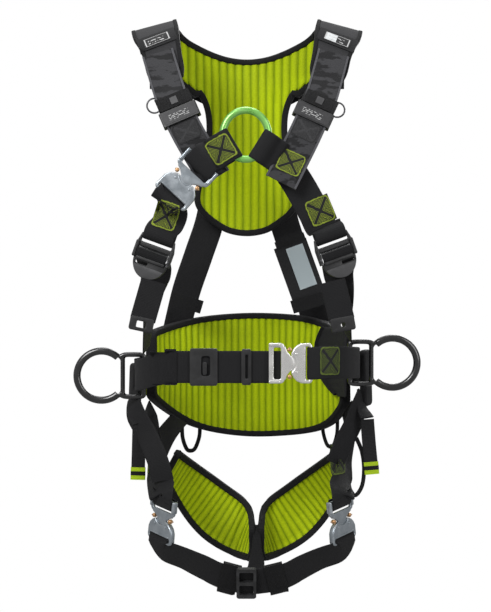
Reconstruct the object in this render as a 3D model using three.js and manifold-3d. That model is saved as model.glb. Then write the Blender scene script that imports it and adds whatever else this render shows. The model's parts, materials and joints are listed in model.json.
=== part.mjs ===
// Full-body climbing saddle: padded yoke, waist belt and leg loops joined by webbing,
// with quick-connect buckles, sliding-bar adjusters and attachment rings.
// Millimetres. +X is the wearer's left side, -Y is in front of the chest, +Z is up.
// The origin is at the height of the shoulder tops, on the body's centre line.
import * as THREE from 'three';
import { mergeVertices } from 'three/addons/utils/BufferGeometryUtils.js';
import Module from 'manifold-3d';

const wasm = await Module();
wasm.setup();

// Webbing
const WEB = 45;
const WEB_T = 2.4;
const PULL_WEB = 20;

// Padding
const BACK_PAD_T = 12;
const WAIST_PAD_T = 13;
const LEG_PAD_T = 10;
const SHOULDER_PAD = 66;
const SHOULDER_PAD_T = 9;

// Waist: an ellipse seen from above, and the heights of the belt
const WAIST_X = 3;
const WAIST_Y = -12;
const WAIST_A = 151;
const WAIST_B = 120;
const BELT_Y = -112;
const BELT_LEFT_Z = -502;
const BELT_RIGHT_Z = -495;

// Attachment rings
const CHEST_RING_R = 31.5;
const CHEST_BAR_R = 5;
const CHEST_RING_STRETCH = 1.08;
const DORSAL_R = 32.5;
const DORSAL_BAR_R = 4.5;
const SIDE_RING_OUT = 41.5;
const SIDE_BAR = 8;
const SIDE_LEG = 30;
const SIDE_REACH = 62;
const KEEPER_RING_R = 10.4;
const KEEPER_WIRE_R = 1.2;

// Quick-connect buckles
const BUCKLE_H = 56;
const BLADE_H = 22;
const NOSE = 12.4;
const CASING_T = 8.4;
const PAWL_Y = 18.8;
const PAWL_SIZE = 8;

// Torso adjusters
const ADJUSTER_W = 56;
const ADJUSTER_T = 6;
const BAR_R = 4.6;
const BAR_LENGTH = 43;

const LOOKS = {
  lime: { color: 0xa5c400, roughness: 0.85, metalness: 0 },
  shoulder: { color: 0x3c3c3e, roughness: 0.9, metalness: 0 },
  webbing: { color: 0x1e1e20, roughness: 0.85, metalness: 0 },
  silver: { color: 0xe6e4e0, roughness: 0.35, metalness: 0.9 },
  steel: { color: 0x8f989f, roughness: 0.4, metalness: 0.8 },
  copper: { color: 0xc89a6a, roughness: 0.35, metalness: 0.9 },
  black_metal: { color: 0x141415, roughness: 0.3, metalness: 0.4 },
  green_metal: { color: 0x7cc050, roughness: 0.3, metalness: 0.6 },
  plastic: { color: 0x1b1b1d, roughness: 0.5, metalness: 0 },
  wire: { color: 0x4a4a4c, roughness: 0.4, metalness: 0.8 },
};

const saddle = new THREE.Group();
const rad = THREE.MathUtils.degToRad;

function add(name, geometry, look, parent = saddle) {
  geometry.deleteAttribute('normal');
  geometry.deleteAttribute('uv');
  const merged = mergeVertices(geometry, 1e-4);
  merged.computeVertexNormals();
  const mesh = new THREE.Mesh(merged, new THREE.MeshStandardMaterial(LOOKS[look]));
  mesh.name = name;
  parent.add(mesh);
  return mesh;
}

// A closed body from corner points and four-sided faces, turned to face outwards.
function body(points, quads) {
  const index = [];
  let volume = 0;
  for (const [a, b, c, d] of quads) {
    index.push(a, b, c, a, c, d);
    for (const [p, q, r] of [[a, b, c], [a, c, d]]) {
      volume += points[p].dot(points[q].clone().cross(points[r]));
    }
  }
  if (volume < 0) index.reverse();
  const geometry = new THREE.BufferGeometry();
  geometry.setAttribute('position', new THREE.Float32BufferAttribute(points.flatMap((p) => p.toArray()), 3));
  geometry.setIndex(index);
  return geometry;
}

// Webbing along a smooth path. A station is a centre and, where it changes, the direction across.
function strap(stations, { width = WEB, thick = WEB_T, steps = 2 } = {}) {
  const centres = stations.map((s) => new THREE.Vector3(s[0], s[1], s[2]));
  const path = new THREE.CatmullRomCurve3(centres, false, 'centripetal');
  let held;
  const acrosses = stations.map((s) => {
    if (s.length > 3) held = new THREE.Vector3(s[3], s[4], s[5]).normalize();
    return held;
  });
  const spans = stations.length - 1;
  const points = [];
  const quads = [];
  for (let i = 0; i <= spans * steps; i += 1) {
    const span = Math.min(Math.floor(i / steps), spans - 1);
    const centre = path.getPoint(i / (spans * steps));
    const along = path.getTangent(i / (spans * steps));
    const across = acrosses[span].clone().lerp(acrosses[span + 1], i / steps - span);
    across.addScaledVector(along, -across.dot(along)).normalize();
    const out = along.clone().cross(across);
    for (const [w, t] of [[1, 1], [-1, 1], [-1, -1], [1, -1]]) {
      const corner = centre.clone().addScaledVector(across, (w * width) / 2);
      points.push(corner.addScaledVector(out, (t * thick) / 2));
    }
    const k = i * 4;
    for (let c = 0; c < 4 && i > 0; c += 1) {
      const n = (c + 1) % 4;
      quads.push([k - 4 + c, k - 4 + n, k + n, k + c]);
    }
  }
  const end = points.length - 4;
  quads.push([3, 2, 1, 0], [end, end + 1, end + 2, end + 3]);
  return body(points, quads);
}

// A padded sheet between two surfaces, each a function of the place across and along.
function shell(across, along, inner, outer) {
  const points = [];
  const quads = [];
  for (const surface of [inner, outer]) {
    for (let j = 0; j <= along; j += 1) {
      for (let i = 0; i <= across; i += 1) points.push(surface(i / across, j / along));
    }
  }
  const id = (layer, i, j) => (layer * (along + 1) + j) * (across + 1) + i;
  for (let j = 0; j < along; j += 1) {
    for (let i = 0; i < across; i += 1) {
      quads.push([id(0, i, j), id(0, i + 1, j), id(0, i + 1, j + 1), id(0, i, j + 1)]);
      quads.push([id(1, i, j), id(1, i, j + 1), id(1, i + 1, j + 1), id(1, i + 1, j)]);
    }
  }
  for (let i = 0; i < across; i += 1) {
    quads.push([id(0, i, 0), id(1, i, 0), id(1, i + 1, 0), id(0, i + 1, 0)]);
    quads.push([id(0, i, along), id(0, i + 1, along), id(1, i + 1, along), id(1, i, along)]);
  }
  for (let j = 0; j < along; j += 1) {
    quads.push([id(0, 0, j), id(0, 0, j + 1), id(1, 0, j + 1), id(1, 0, j)]);
    quads.push([id(0, across, j), id(1, across, j), id(1, across, j + 1), id(0, across, j + 1)]);
  }
  return body(points, quads);
}

// A seat for flat hardware: local X and Y lie in its face, local Z looks out of it.
function seat(x, y, z, roll = 0, yaw = 0) {
  const place = new THREE.Group();
  place.position.set(x, y, z);
  place.rotation.z = rad(yaw);
  const face = new THREE.Group();
  face.rotation.set(Math.PI / 2, 0, rad(roll));
  place.add(face);
  saddle.add(place);
  return face;
}

function roundedRect(target, x0, y0, x1, y1, r) {
  target.moveTo(x0 + r, y0);
  target.lineTo(x1 - r, y0);
  target.absarc(x1 - r, y0 + r, r, -Math.PI / 2, 0, false);
  target.lineTo(x1, y1 - r);
  target.absarc(x1 - r, y1 - r, r, 0, Math.PI / 2, false);
  target.lineTo(x0 + r, y1);
  target.absarc(x0 + r, y1 - r, r, Math.PI / 2, Math.PI, false);
  target.lineTo(x0, y0 + r);
  target.absarc(x0 + r, y0 + r, r, Math.PI, Math.PI * 1.5, false);
  return target;
}

const panel = (x0, y0, x1, y1, r) => roundedRect(new THREE.Shape(), x0, y0, x1, y1, r);
const slot = (x0, y0, x1, y1, r) => roundedRect(new THREE.Path(), x0, y0, x1, y1, r);

function extruded(shape, bottom, top, curveSegments = 4) {
  const geometry = new THREE.ExtrudeGeometry(shape, {
    depth: top - bottom, bevelEnabled: false, curveSegments,
  });
  return geometry.translate(0, 0, bottom);
}

function solid(geometry) {
  geometry.deleteAttribute('normal');
  geometry.deleteAttribute('uv');
  const merged = mergeVertices(geometry, 1e-4);
  return new wasm.Manifold(new wasm.Mesh({
    numProp: 3,
    vertProperties: new Float32Array(merged.attributes.position.array),
    triVerts: new Uint32Array(merged.index.array),
  }));
}

function cut(geometry, ...tools) {
  let result = solid(geometry);
  for (const tool of tools) result = result.subtract(solid(tool));
  const mesh = result.getMesh();
  const left = new THREE.BufferGeometry();
  left.setAttribute('position', new THREE.Float32BufferAttribute(mesh.vertProperties, 3));
  left.setIndex(Array.from(mesh.triVerts));
  return left;
}

const box = (x0, y0, z0, x1, y1, z1) => new THREE.BoxGeometry(x1 - x0, y1 - y0, z1 - z0)
  .translate((x0 + x1) / 2, (y0 + y1) / 2, (z0 + z1) / 2);

// Stations on the wearer's right, or the same ones reflected to the left where flip is -1.
const mirrored = (stations, flip) => stations.map(([x, y, z, wx, wy, wz]) => (
  wx === undefined ? [x * flip, y, z] : [x * flip, y, z, wx * flip, wy, wz]));

// ---- Padding ---------------------------------------------------------------------------------

const BACK_SIDE = new THREE.CatmullRomCurve3([
  [34, -301], [60, -284], [79, -262], [78, -236], [64, -175], [62, -125], [74, -90], [99, -70], [100, -7],
].map(([x, z]) => new THREE.Vector3(x, 0, z)), false, 'centripetal');
const BACK_BOTTOM = -307;
const BACK_TOP = -35;

function backPadPoint(u, v, thick) {
  const across = u * 2 - 1;
  const edge = BACK_SIDE.getPoint(v);
  const middle = BACK_BOTTOM + (BACK_TOP - BACK_BOTTOM) * v;
  const x = edge.x * across;
  const z = middle + (edge.z - middle) * across * across;
  const wing = Math.max(0, z + 110) * 0.35 * (x / 105) ** 2;
  return new THREE.Vector3(x, 95 - 0.0035 * x * x - wing + thick, z);
}

function backPad() {
  const grid = shell(10, 16, (u, v) => backPadPoint(u, v, 0), (u, v) => backPadPoint(u, v, BACK_PAD_T));
  add('back_pad', grid, 'lime');
}

// Top and bottom edges of the waist pad, by how far round the waist they are.
const WAIST_ROUND = [-70, -57, -28, 0, 28, 42, 54, 68];
const WAIST_TOP = [-457, -450, -435, -429, -432, -438, -447, -462];
const WAIST_BOTTOM = [-553, -572, -608, -620, -616, -609, -596, -566];

function waistEdge(heights, t) {
  const points = heights.map((z, i) => new THREE.Vector3(WAIST_ROUND[i], z, 0));
  return new THREE.CatmullRomCurve3(points, false, 'centripetal').getPoint(t);
}

function waistPoint(degrees, z, out) {
  const turn = rad(degrees);
  const x = WAIST_X + (WAIST_A + out) * Math.sin(turn);
  return new THREE.Vector3(x, WAIST_Y + (WAIST_B + out) * Math.cos(turn), z);
}

function waistPad() {
  const surface = (out) => (u, v) => {
    const low = waistEdge(WAIST_BOTTOM, u);
    const high = waistEdge(WAIST_TOP, u);
    return waistPoint(low.x + (high.x - low.x) * v, low.y + (high.y - low.y) * v, out);
  };
  add('waist_pad', shell(20, 5, surface(0), surface(WAIST_PAD_T)), 'lime');
}

const LEG_TOP_EDGE = [[-104, -632], [-77, -657], [-32, -692], [6, -722], [11, -748]];
const LEG_LOW_EDGE = [[-126, -672], [-111, -710], [-82, -756], [-33, -795], [-12, -798]];
const LEG_MIDDLE_X = 14.5;
const FRONT_MIDDLE_X = 8;

function legPad(name, side) {
  const edge = (list) => new THREE.CatmullRomCurve3(
    list.map(([x, z]) => new THREE.Vector3(x - LEG_MIDDLE_X, 0, z)), false, 'centripetal');
  const top = edge(LEG_TOP_EDGE);
  const low = edge(LEG_LOW_EDGE);
  const surface = (thick) => (u, v) => {
    const point = low.getPoint(u).lerp(top.getPoint(u), v);
    const depth = 8 + 54 * Math.sin(Math.PI * Math.min(1, u * 0.97)) + 5 * Math.sin(Math.PI * v);
    return new THREE.Vector3(LEG_MIDDLE_X - side * point.x, depth + thick, point.z);
  };
  add(name, shell(12, 5, surface(0), surface(LEG_PAD_T)), 'lime');
}

function shoulderPad(name, flip) {
  const path = mirrored([
    [-137, 66, -84, 1, 0.1, 0.12], [-137, 52, -42], [-137, 24, -12, 0.97, 0, 0.26], [-136, -8, -8],
    [-130, -32, -32, 0.95, 0, 0.3], [-121, -45, -76],
  ], flip);
  add(name, strap(path, { width: SHOULDER_PAD, thick: SHOULDER_PAD_T }), 'shoulder');
}

// ---- Webbing ---------------------------------------------------------------------------------

function yokeWebbing() {
  add('shoulder_strap_right', strap([
    [-129, -47, -52, 0.95, 0, 0.31], [-119, -59, -85], [-107, -76, -122, 0.92, 0, 0.39],
    [-95, -86, -150], [-78, -95, -183, 0.86, 0, 0.5], [-45, -102, -238],
  ]), 'shoulder');
  add('shoulder_strap_left', strap([
    [125, -47, -52, 0.95, 0, -0.31], [116, -59, -85], [105, -76, -122, 0.91, 0, -0.41],
    [93, -87, -150], [78, -101, -183, 0.88, 0, -0.47], [47, -114, -245],
  ]), 'shoulder');
  for (const [name, flip, lift] of [['back_strap_right', 1, 0], ['back_strap_left', -1, 8]]) {
    add(name, strap(mirrored([
      [-128, 79, -62, 0.3, 0, 0.95], [-98, 78, -68, 0.35, 0, 0.93], [-58, 100 + lift, -82, 0.5, 0, 0.87],
      [0, 113 + lift, -110, 0.78, 0, 0.62], [33, 114 + lift, -165, 0.93, 0, 0.36],
      [58, 107, -284, 0.97, 0, 0.24], [92, 106, -385, 0.95, -0.2, 0.2], [113, 102, -466, 0.88, -0.45, 0.15],
    ], flip)), 'webbing');
  }
}

function chestWebbing() {
  add('chest_strap_right', strap([
    [-37, -112, -199, -0.52, 0, 0.86], [-50, -111, -207], [-66, -110, -219],
  ], { steps: 3 }), 'webbing');
  add('front_strap_right', strap([
    [-97, -112, -262, -0.75, 0, 0.66], [-103, -110, -276, -0.9, 0, 0.4], [-110, -105, -300, -0.95, 0, 0.3],
    [-122, -98, -335],
  ], { steps: 3 }), 'webbing');
  add('chest_strap_left', strap([
    [33, -103, -201, 0.53, 0, 0.85], [47, -98, -211], [66, -95, -236, 0.75, 0, 0.66],
    [86, -95, -270, 0.86, 0, 0.5], [104, -95, -305], [115, -95, -332, 0.9, 0, 0.42],
  ]), 'webbing');
}

function sideWebbing() {
  for (const [name, flip, out, foot] of [['right', 1, 0, -480], ['left', -1, 10.5, -461]]) {
    add(`side_strap_${name}`, strap(mirrored([
      [-126, -90, -350, 0.95, 0.1, 0.3], [-131, -84, -385, 0.85, 0.5, 0.1], [-139, -64, -425, 0.3, 0.95, 0],
      [-145, -48, foot, 0.1, 1, 0],
    ], flip)), 'webbing');
    add(`hip_strap_${name}`, strap(mirrored([
      [-149 - out, 21, -566, 0.25, -0.95, 0.05], [-142 - out, 8, -598, 0.7, -0.7, 0],
      [-134 - out, -10, -640, 0.9, -0.4, 0], [-134 - out, -32, -668, 0.6, -0.75, 0],
      [-130 - out, -46, -686, 0.55, -0.8, 0],
    ], flip), { steps: 3 }), 'webbing');
  }
}

function strapTail(name, top, bottom) {
  const across = [0.95, 0, 0.3 * Math.sign(-top)];
  add(name, strap([
    [top, -110, -382, ...across], [(top + bottom) / 2, -110, -405], [bottom, -110, -452],
  ], { width: 32, thick: 4, steps: 1 }), 'plastic');
}

function legFrontStraps() {
  for (const [name, side] of [['right', -1], ['left', 1]]) {
    const x = (reach) => FRONT_MIDDLE_X + side * reach;
    add(`leg_front_strap_${name}`, strap([
      [x(105), -72, -754, -side * 0.64, -0.74, 0.1], [x(92), -79, -769, -side * 0.5, -0.7, 0.5],
      [x(68), -86, -787, -side * 0.35, -0.55, 0.76], [x(38), -90, -800, -side * 0.1, -0.45, 0.88],
      [x(10), -91, -805, 0, -0.45, 0.89],
    ]), 'webbing');
  }
}

function pullTails() {
  add('pull_tail_right', strap([
    [-157, -30, -590, 1, 0, 0], [-158, -30, -630], [-159, -30, -669],
  ], { width: PULL_WEB, thick: 3, steps: 1 }), 'webbing');
  add('pull_tail_left', strap([
    [175, -30, -582, 1, 0, 0.1], [178, -30, -620], [182, -30, -661],
  ], { width: PULL_WEB, thick: 3, steps: 1 }), 'webbing');
}

// ---- Waist belt ------------------------------------------------------------------------------

function belt() {
  const bar = WAIST_PAD_T + 6;
  const back = [];
  for (let turn = -84; turn <= 84; turn += 12) {
    const point = waistPoint(turn, -512 + turn * 0.06, bar);
    back.push([point.x, point.y, point.z, 0, 0, 1]);
  }
  add('belt_back', strap(back, { steps: 1 }), 'webbing');
  add('belt_right', strap([
    [47, BELT_Y, BELT_LEFT_Z, 0, 0, 1], [-30, BELT_Y, BELT_LEFT_Z], [-86, BELT_Y, BELT_LEFT_Z],
    [-98, BELT_Y, BELT_LEFT_Z], [-130, -97, -507], [-152, -62, -515], [-162.5, -28, -518], [-161, -14, -518],
  ]), 'webbing');
  add('belt_left', strap([
    [80, -123.6, BELT_RIGHT_Z, 0, 0, 1], [112, -122, BELT_RIGHT_Z], [138, -104, -496],
    [157, -64, -498], [163.5, -28, -500], [162, -14, -500],
  ]), 'webbing');
  const slider = (name, x0, x1, high, deep, hollow) => {
    const ring = panel(-deep / 2, -high / 2, deep / 2, high / 2, 1.2);
    ring.holes.push(slot(-hollow / 2, -WEB / 2 - 0.8, hollow / 2, WEB / 2 + 0.8, 0.5));
    const mesh = add(name, extruded(ring, x0, x1, 2), 'plastic');
    mesh.position.set(0, BELT_Y, BELT_LEFT_Z);
    mesh.quaternion.set(0.5, 0.5, 0.5, 0.5);
  };
  slider('belt_slider', -80, -41, 52, 8.4, 4);
  slider('belt_keeper', -8, 6, 50, 6.4, 4);
}

function sideRing(name, x, z, side) {
  const face = seat(x, -20, z, side < 0 ? 0 : 180);
  const outline = new THREE.Shape();
  const leg = SIDE_LEG + SIDE_BAR / 2;
  const start = Math.asin(leg / SIDE_RING_OUT);
  outline.moveTo(SIDE_REACH + SIDE_BAR / 2, leg);
  outline.lineTo(SIDE_RING_OUT * Math.cos(start), leg);
  outline.absarc(0, 0, SIDE_RING_OUT, start, Math.PI * 2 - start, false);
  outline.lineTo(SIDE_REACH + SIDE_BAR / 2, -leg);
  const hole = new THREE.Path();
  hole.absarc(0, 0, SIDE_RING_OUT - SIDE_BAR - 2, 0.62, Math.PI * 2 - 0.62, false);
  outline.holes.push(hole);
  outline.holes.push(slot(35, -leg + SIDE_BAR, SIDE_REACH - SIDE_BAR / 2, leg - SIDE_BAR, 2));
  add(name, extruded(outline, -SIDE_BAR / 2, SIDE_BAR / 2, 10), 'black_metal', face);
}

// ---- Quick-connect buckles -------------------------------------------------------------------

function buckle(prefix, face, { bodyLength, tongueLength, look, pawls }) {
  const half = BUCKLE_H / 2;
  const tongue = new THREE.Shape();
  tongue.moveTo(5, -half + 3);
  tongue.lineTo(8, -half);
  tongue.lineTo(tongueLength - 3, -half);
  tongue.lineTo(tongueLength, -half + 3);
  tongue.lineTo(tongueLength, half - 3);
  tongue.lineTo(tongueLength - 3, half);
  tongue.lineTo(8, half);
  tongue.lineTo(5, half - 3);
  tongue.lineTo(5, BLADE_H / 2);
  tongue.lineTo(-16, BLADE_H / 2);
  tongue.lineTo(-16, -BLADE_H / 2);
  tongue.lineTo(5, -BLADE_H / 2);
  tongue.holes.push(slot(11, -half + 6, tongueLength - 6, half - 6, 2));
  add(`${prefix}_tongue`, extruded(tongue, -2, 2, 2), look, face);

  const casing = new THREE.Shape();
  casing.moveTo(-1, -NOSE);
  casing.lineTo(-5, -NOSE);
  casing.lineTo(-5, -half + 5);
  casing.lineTo(-9, -half + 1);
  casing.lineTo(-bodyLength + 4, -half + 1);
  casing.lineTo(-bodyLength, -half + 5);
  casing.lineTo(-bodyLength, half - 5);
  casing.lineTo(-bodyLength + 4, half - 1);
  casing.lineTo(-9, half - 1);
  casing.lineTo(-5, half - 5);
  casing.lineTo(-5, NOSE);
  casing.lineTo(-1, NOSE);
  const cavity = box(-17, -BLADE_H / 2 - 0.6, -2.5, 4, BLADE_H / 2 + 0.6, 2.5);
  const slotEnd = Math.min(-bodyLength + 11, -19);
  const webSlot = box(-bodyLength + 4, -half + 4, -9, slotEnd, half - 4, 9);
  add(`${prefix}_body`, cut(extruded(casing, -CASING_T / 2, CASING_T / 2, 2), cavity, webSlot), look, face);

  for (const [name, side] of pawls) {
    const pawl = panel(-PAWL_SIZE / 2, -PAWL_SIZE / 2, PAWL_SIZE / 2, PAWL_SIZE / 2, 2);
    add(`${prefix}_pawl_${name}`, extruded(pawl, -3.5, 3.5, 2), 'copper', face)
      .position.set(0, side * PAWL_Y, 0);
  }
}

// ---- Adjusters -------------------------------------------------------------------------------

function torsoAdjuster(name, x, z, roll, yaw) {
  const face = seat(x, -106, z, roll, yaw);
  const half = ADJUSTER_W / 2;
  const frame = new THREE.Shape();
  frame.moveTo(-half, 10);
  frame.lineTo(-half + 4, 24);
  frame.lineTo(half - 4, 24);
  frame.lineTo(half, 10);
  frame.lineTo(half, -12);
  frame.absarc(0, -12, half - 6, 0, -Math.PI, true);
  frame.lineTo(-half, -12);
  frame.holes.push(slot(-22.5, 12, 22.5, 19, 1.5));
  frame.holes.push(slot(-22.5, -10, 22.5, 7, 1.5));
  frame.holes.push(slot(-10, -26, 10, -22, 1.5));
  add(`torso_adjuster_${name}`, extruded(frame, -ADJUSTER_T / 2, ADJUSTER_T / 2), 'plastic', face);
  const roller = new THREE.CylinderGeometry(BAR_R, BAR_R, BAR_LENGTH, 10).rotateZ(Math.PI / 2);
  add(`adjuster_bar_${name}`, roller, 'black_metal', face).position.set(0, 0.5, 2);
}

function crotchAdjuster() {
  const face = seat(-1, -93.2, -805.5);
  face.rotation.x = rad(117);
  const frame = panel(-14, -26, 14, 26, 4);
  frame.holes.push(slot(-10, 3, 10, 20, 2));
  frame.holes.push(slot(-10, -20, 10, -3, 2));
  add('crotch_adjuster', extruded(frame, 0, 5, 3), 'plastic', face);
}

// ---- Rings and loops -------------------------------------------------------------------------

function chestRing() {
  const ring = new THREE.Shape();
  const hole = new THREE.Path();
  const [wide, high] = [CHEST_RING_R, CHEST_RING_R * CHEST_RING_STRETCH];
  ring.absellipse(0, 0, wide + CHEST_BAR_R, high + CHEST_BAR_R, 0, Math.PI * 2, false, 0);
  hole.absellipse(0, 0, wide - CHEST_BAR_R, high - CHEST_BAR_R, 0, Math.PI * 2, false, 0);
  ring.holes.push(hole);
  add('chest_ring', extruded(ring, -CHEST_BAR_R, CHEST_BAR_R, 16), 'green_metal', seat(-2, -116, -179));
}

function dorsalRing() {
  const face = seat(0, 138, -66);
  const outer = DORSAL_R + DORSAL_BAR_R;
  const inner = DORSAL_R - DORSAL_BAR_R;
  const foot = -26;
  const outline = new THREE.Shape();
  outline.moveTo(-outer, foot - DORSAL_BAR_R);
  outline.lineTo(outer, foot - DORSAL_BAR_R);
  outline.lineTo(outer, 0);
  outline.absarc(0, 0, outer, 0, Math.PI, false);
  const hole = new THREE.Path();
  hole.moveTo(-inner, foot + DORSAL_BAR_R);
  hole.lineTo(inner, foot + DORSAL_BAR_R);
  hole.lineTo(inner, 0);
  hole.absarc(0, 0, inner, 0, Math.PI, false);
  outline.holes.push(hole);
  add('dorsal_ring', extruded(outline, -DORSAL_BAR_R, DORSAL_BAR_R, 12), 'green_metal', face);
  const plate = panel(-34, -28, 34, 28, 6);
  add('dorsal_plate', extruded(plate, -2, 2, 3), 'plastic', seat(0, 127, -104));
}

function keepers() {
  for (const [name, x, z, lean, side] of [['right', -95, -147, 23, -1], ['left', 93.5, -147.5, -24.5, 1]]) {
    const y = side < 0 ? -85.5 : -85.8;
    const tube = panel(-28, -5.5, 28, 5.5, 2);
    tube.holes.push(slot(-24.8, -3.4, 24.8, 3.4, 0.5));
    const holder = new THREE.Group();
    holder.position.set(x, y, z);
    holder.rotation.set(0, rad(-lean), 0);
    const tilt = new THREE.Group();
    tilt.rotation.x = rad(-17);
    holder.add(tilt);
    saddle.add(holder);
    add(`lanyard_keeper_${name}`, extruded(tube, -11, 11, 2), 'plastic', tilt);
    const ring = new THREE.TorusGeometry(KEEPER_RING_R, KEEPER_WIRE_R, 6, 24);
    add(`keeper_ring_${name}`, ring, 'wire', seat(side < 0 ? -132.5 : 129, -67, side < 0 ? -131 : -137));
  }
}

function gearLoop(name, x, side, bottom) {
  const turn = THREE.MathUtils.radToDeg(Math.asin((x - WAIST_X) / (WAIST_A + WAIST_PAD_T)));
  const place = (offset, z) => waistPoint(turn + offset, z, WAIST_PAD_T + 5);
  const path = new THREE.CatmullRomCurve3([
    place(-side * 5.5, bottom + 50), place(-side * 5, bottom + 20), place(-side * 2, bottom),
    place(side * 2, bottom), place(side * 5, bottom + 22), place(side * 5.5, bottom + 55),
  ], false, 'centripetal');
  const section = new THREE.Shape().absarc(0, 0, 2.4, 0, Math.PI * 2, false);
  const loop = new THREE.ExtrudeGeometry(section, { steps: 24, extrudePath: path, curveSegments: 4 });
  add(name, loop, 'plastic');
}

backPad();
waistPad();
legPad('leg_pad_right', -1);
legPad('leg_pad_left', 1);
shoulderPad('shoulder_pad_right', 1);
shoulderPad('shoulder_pad_left', -1);
yokeWebbing();
chestWebbing();
sideWebbing();
strapTail('strap_tail_right', -130, -150);
strapTail('strap_tail_left', 119, 136);
legFrontStraps();
pullTails();
belt();
sideRing('side_ring_right', -213, -519, -1);
sideRing('side_ring_left', 213, -500, 1);
buckle('chest_buckle', seat(-83, -121, -241, 47), {
  bodyLength: 38, tongueLength: 34, look: 'steel', pawls: [['upper', 1], ['lower', -1]],
});
buckle('waist_buckle', seat(59, -117.5, -496.5, 180), {
  bodyLength: 32, tongueLength: 29, look: 'silver', pawls: [['upper', -1], ['lower', 1]],
});
buckle('leg_buckle_right', seat(-121, -62, -721, 82, -50), {
  bodyLength: 34, tongueLength: 30, look: 'steel', pawls: [['front', -1], ['rear', 1]],
});
buckle('leg_buckle_left', seat(135, -62, -721, 98, 50), {
  bodyLength: 34, tongueLength: 30, look: 'steel', pawls: [['front', 1], ['rear', -1]],
});
torsoAdjuster('right', -131, -344, -20, -8);
torsoAdjuster('left', 124, -341, 20, 8);
crotchAdjuster();
chestRing();
dorsalRing();
keepers();
gearLoop('gear_loop_right', -85, -1, -641);
gearLoop('gear_loop_left', 125, 1, -632);

export default saddle;
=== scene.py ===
"""Full-body climbing saddle: webbing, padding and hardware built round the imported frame."""
import json
import math

import bmesh
import bpy
from mathutils import Matrix, Vector
from mathutils.bvhtree import BVHTree
from mathutils.kdtree import KDTree


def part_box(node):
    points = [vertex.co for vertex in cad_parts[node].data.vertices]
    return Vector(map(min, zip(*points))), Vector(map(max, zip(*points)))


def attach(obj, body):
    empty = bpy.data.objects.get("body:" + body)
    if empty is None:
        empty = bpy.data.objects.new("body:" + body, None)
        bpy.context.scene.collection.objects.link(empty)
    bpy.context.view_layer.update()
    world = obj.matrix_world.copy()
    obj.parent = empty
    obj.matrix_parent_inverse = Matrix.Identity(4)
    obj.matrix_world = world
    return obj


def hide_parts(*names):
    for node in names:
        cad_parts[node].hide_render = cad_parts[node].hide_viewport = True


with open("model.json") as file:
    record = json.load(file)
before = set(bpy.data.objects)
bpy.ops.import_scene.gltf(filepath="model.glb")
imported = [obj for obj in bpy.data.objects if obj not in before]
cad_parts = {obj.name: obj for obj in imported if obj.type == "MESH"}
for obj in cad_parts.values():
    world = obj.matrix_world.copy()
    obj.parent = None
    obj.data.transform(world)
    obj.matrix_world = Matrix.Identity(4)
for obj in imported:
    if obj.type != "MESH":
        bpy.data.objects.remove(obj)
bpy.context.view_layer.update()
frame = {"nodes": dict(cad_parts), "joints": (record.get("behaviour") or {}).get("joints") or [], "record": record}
MM = 0.001
NODES = frame["nodes"]
JOINTS = {joint["name"]: joint for joint in frame["joints"]}
BODY_OF = {node: body for body, nodes in frame["record"]["behaviour"]["bodies"].items() for node in nodes}
ROOT = "harness"
SIDES = (("right", -1), ("left", 1))

WEB_WIDTH = 45 * MM
WEB_THICK = 2.2 * MM


# ---- Camera and light ------------------------------------------------------------------------

def link(obj):
    bpy.context.scene.collection.objects.link(obj)
    return obj


def camera():
    data = bpy.data.cameras.new("camera")
    data.lens = 75.5
    data.sensor_width = 36
    data.clip_end = 60
    view = link(bpy.data.objects.new("camera", data))
    view.location = (-0.0022, -1.9, -0.417)
    view.rotation_euler = (math.pi / 2, 0, 0)
    bpy.context.scene.camera = view


def soft_light(name, place, aim, size, watts):
    data = bpy.data.lights.new(name, "AREA")
    data.shape = "RECTANGLE"
    data.size, data.size_y = size
    data.energy = watts
    lamp = link(bpy.data.objects.new(name, data))
    lamp.location = place
    lamp.rotation_euler = (Vector(aim) - Vector(place)).to_track_quat("-Z", "Y").to_euler()


def studio():
    """White all round for the eye, with a dimmer white sky and four large lamps to shape the folds."""
    world = bpy.data.worlds.new("studio")
    world.use_nodes = True
    nodes, links = world.node_tree.nodes, world.node_tree.links
    sky = nodes["Background"]
    sky.inputs["Color"].default_value = (1, 1, 1, 1)
    sky.inputs["Strength"].default_value = 0.42
    backdrop = nodes.new("ShaderNodeBackground")
    backdrop.inputs["Color"].default_value = (1, 1, 1, 1)
    seen = nodes.new("ShaderNodeLightPath")
    choose = nodes.new("ShaderNodeMixShader")
    links.new(seen.outputs["Is Camera Ray"], choose.inputs["Fac"])
    links.new(sky.outputs["Background"], choose.inputs[1])
    links.new(backdrop.outputs["Background"], choose.inputs[2])
    links.new(choose.outputs["Shader"], nodes["World Output"].inputs["Surface"])
    bpy.context.scene.world = world
    soft_light("key", (-1.5, -2.2, 1.2), (0, 0, -0.35), (1.2, 1.2), 62)
    soft_light("fill", (1.9, -2.0, 0.4), (0, 0, -0.45), (1.2, 1.8), 26)
    soft_light("top", (0, 0.1, 1.5), (0, 0, -0.3), (1.4, 0.9), 22)
    soft_light("rear", (0.8, 2.4, 0.9), (0, 0, -0.4), (1.8, 1.6), 40)
    bpy.context.scene.view_settings.view_transform = "Standard"


camera()
studio()


# ---- Small tools -----------------------------------------------------------------------------

def mesh_piece(name, verts, faces, smooth=True, uvs=None):
    """A piece from points and faces; uvs has one pair for each point."""
    mesh = bpy.data.meshes.new(name)
    mesh.from_pydata([tuple(v) for v in verts], [], faces)
    if uvs:
        layer = mesh.uv_layers.new(name="UVMap")
        for loop in mesh.loops:
            layer.data[loop.index].uv = uvs[loop.vertex_index]
    work = bmesh.new()
    work.from_mesh(mesh)
    bmesh.ops.recalc_face_normals(work, faces=work.faces)
    work.to_mesh(mesh)
    work.free()
    mesh.polygons.foreach_set("use_smooth", [smooth] * len(mesh.polygons))
    return link(bpy.data.objects.new(name, mesh))


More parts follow.
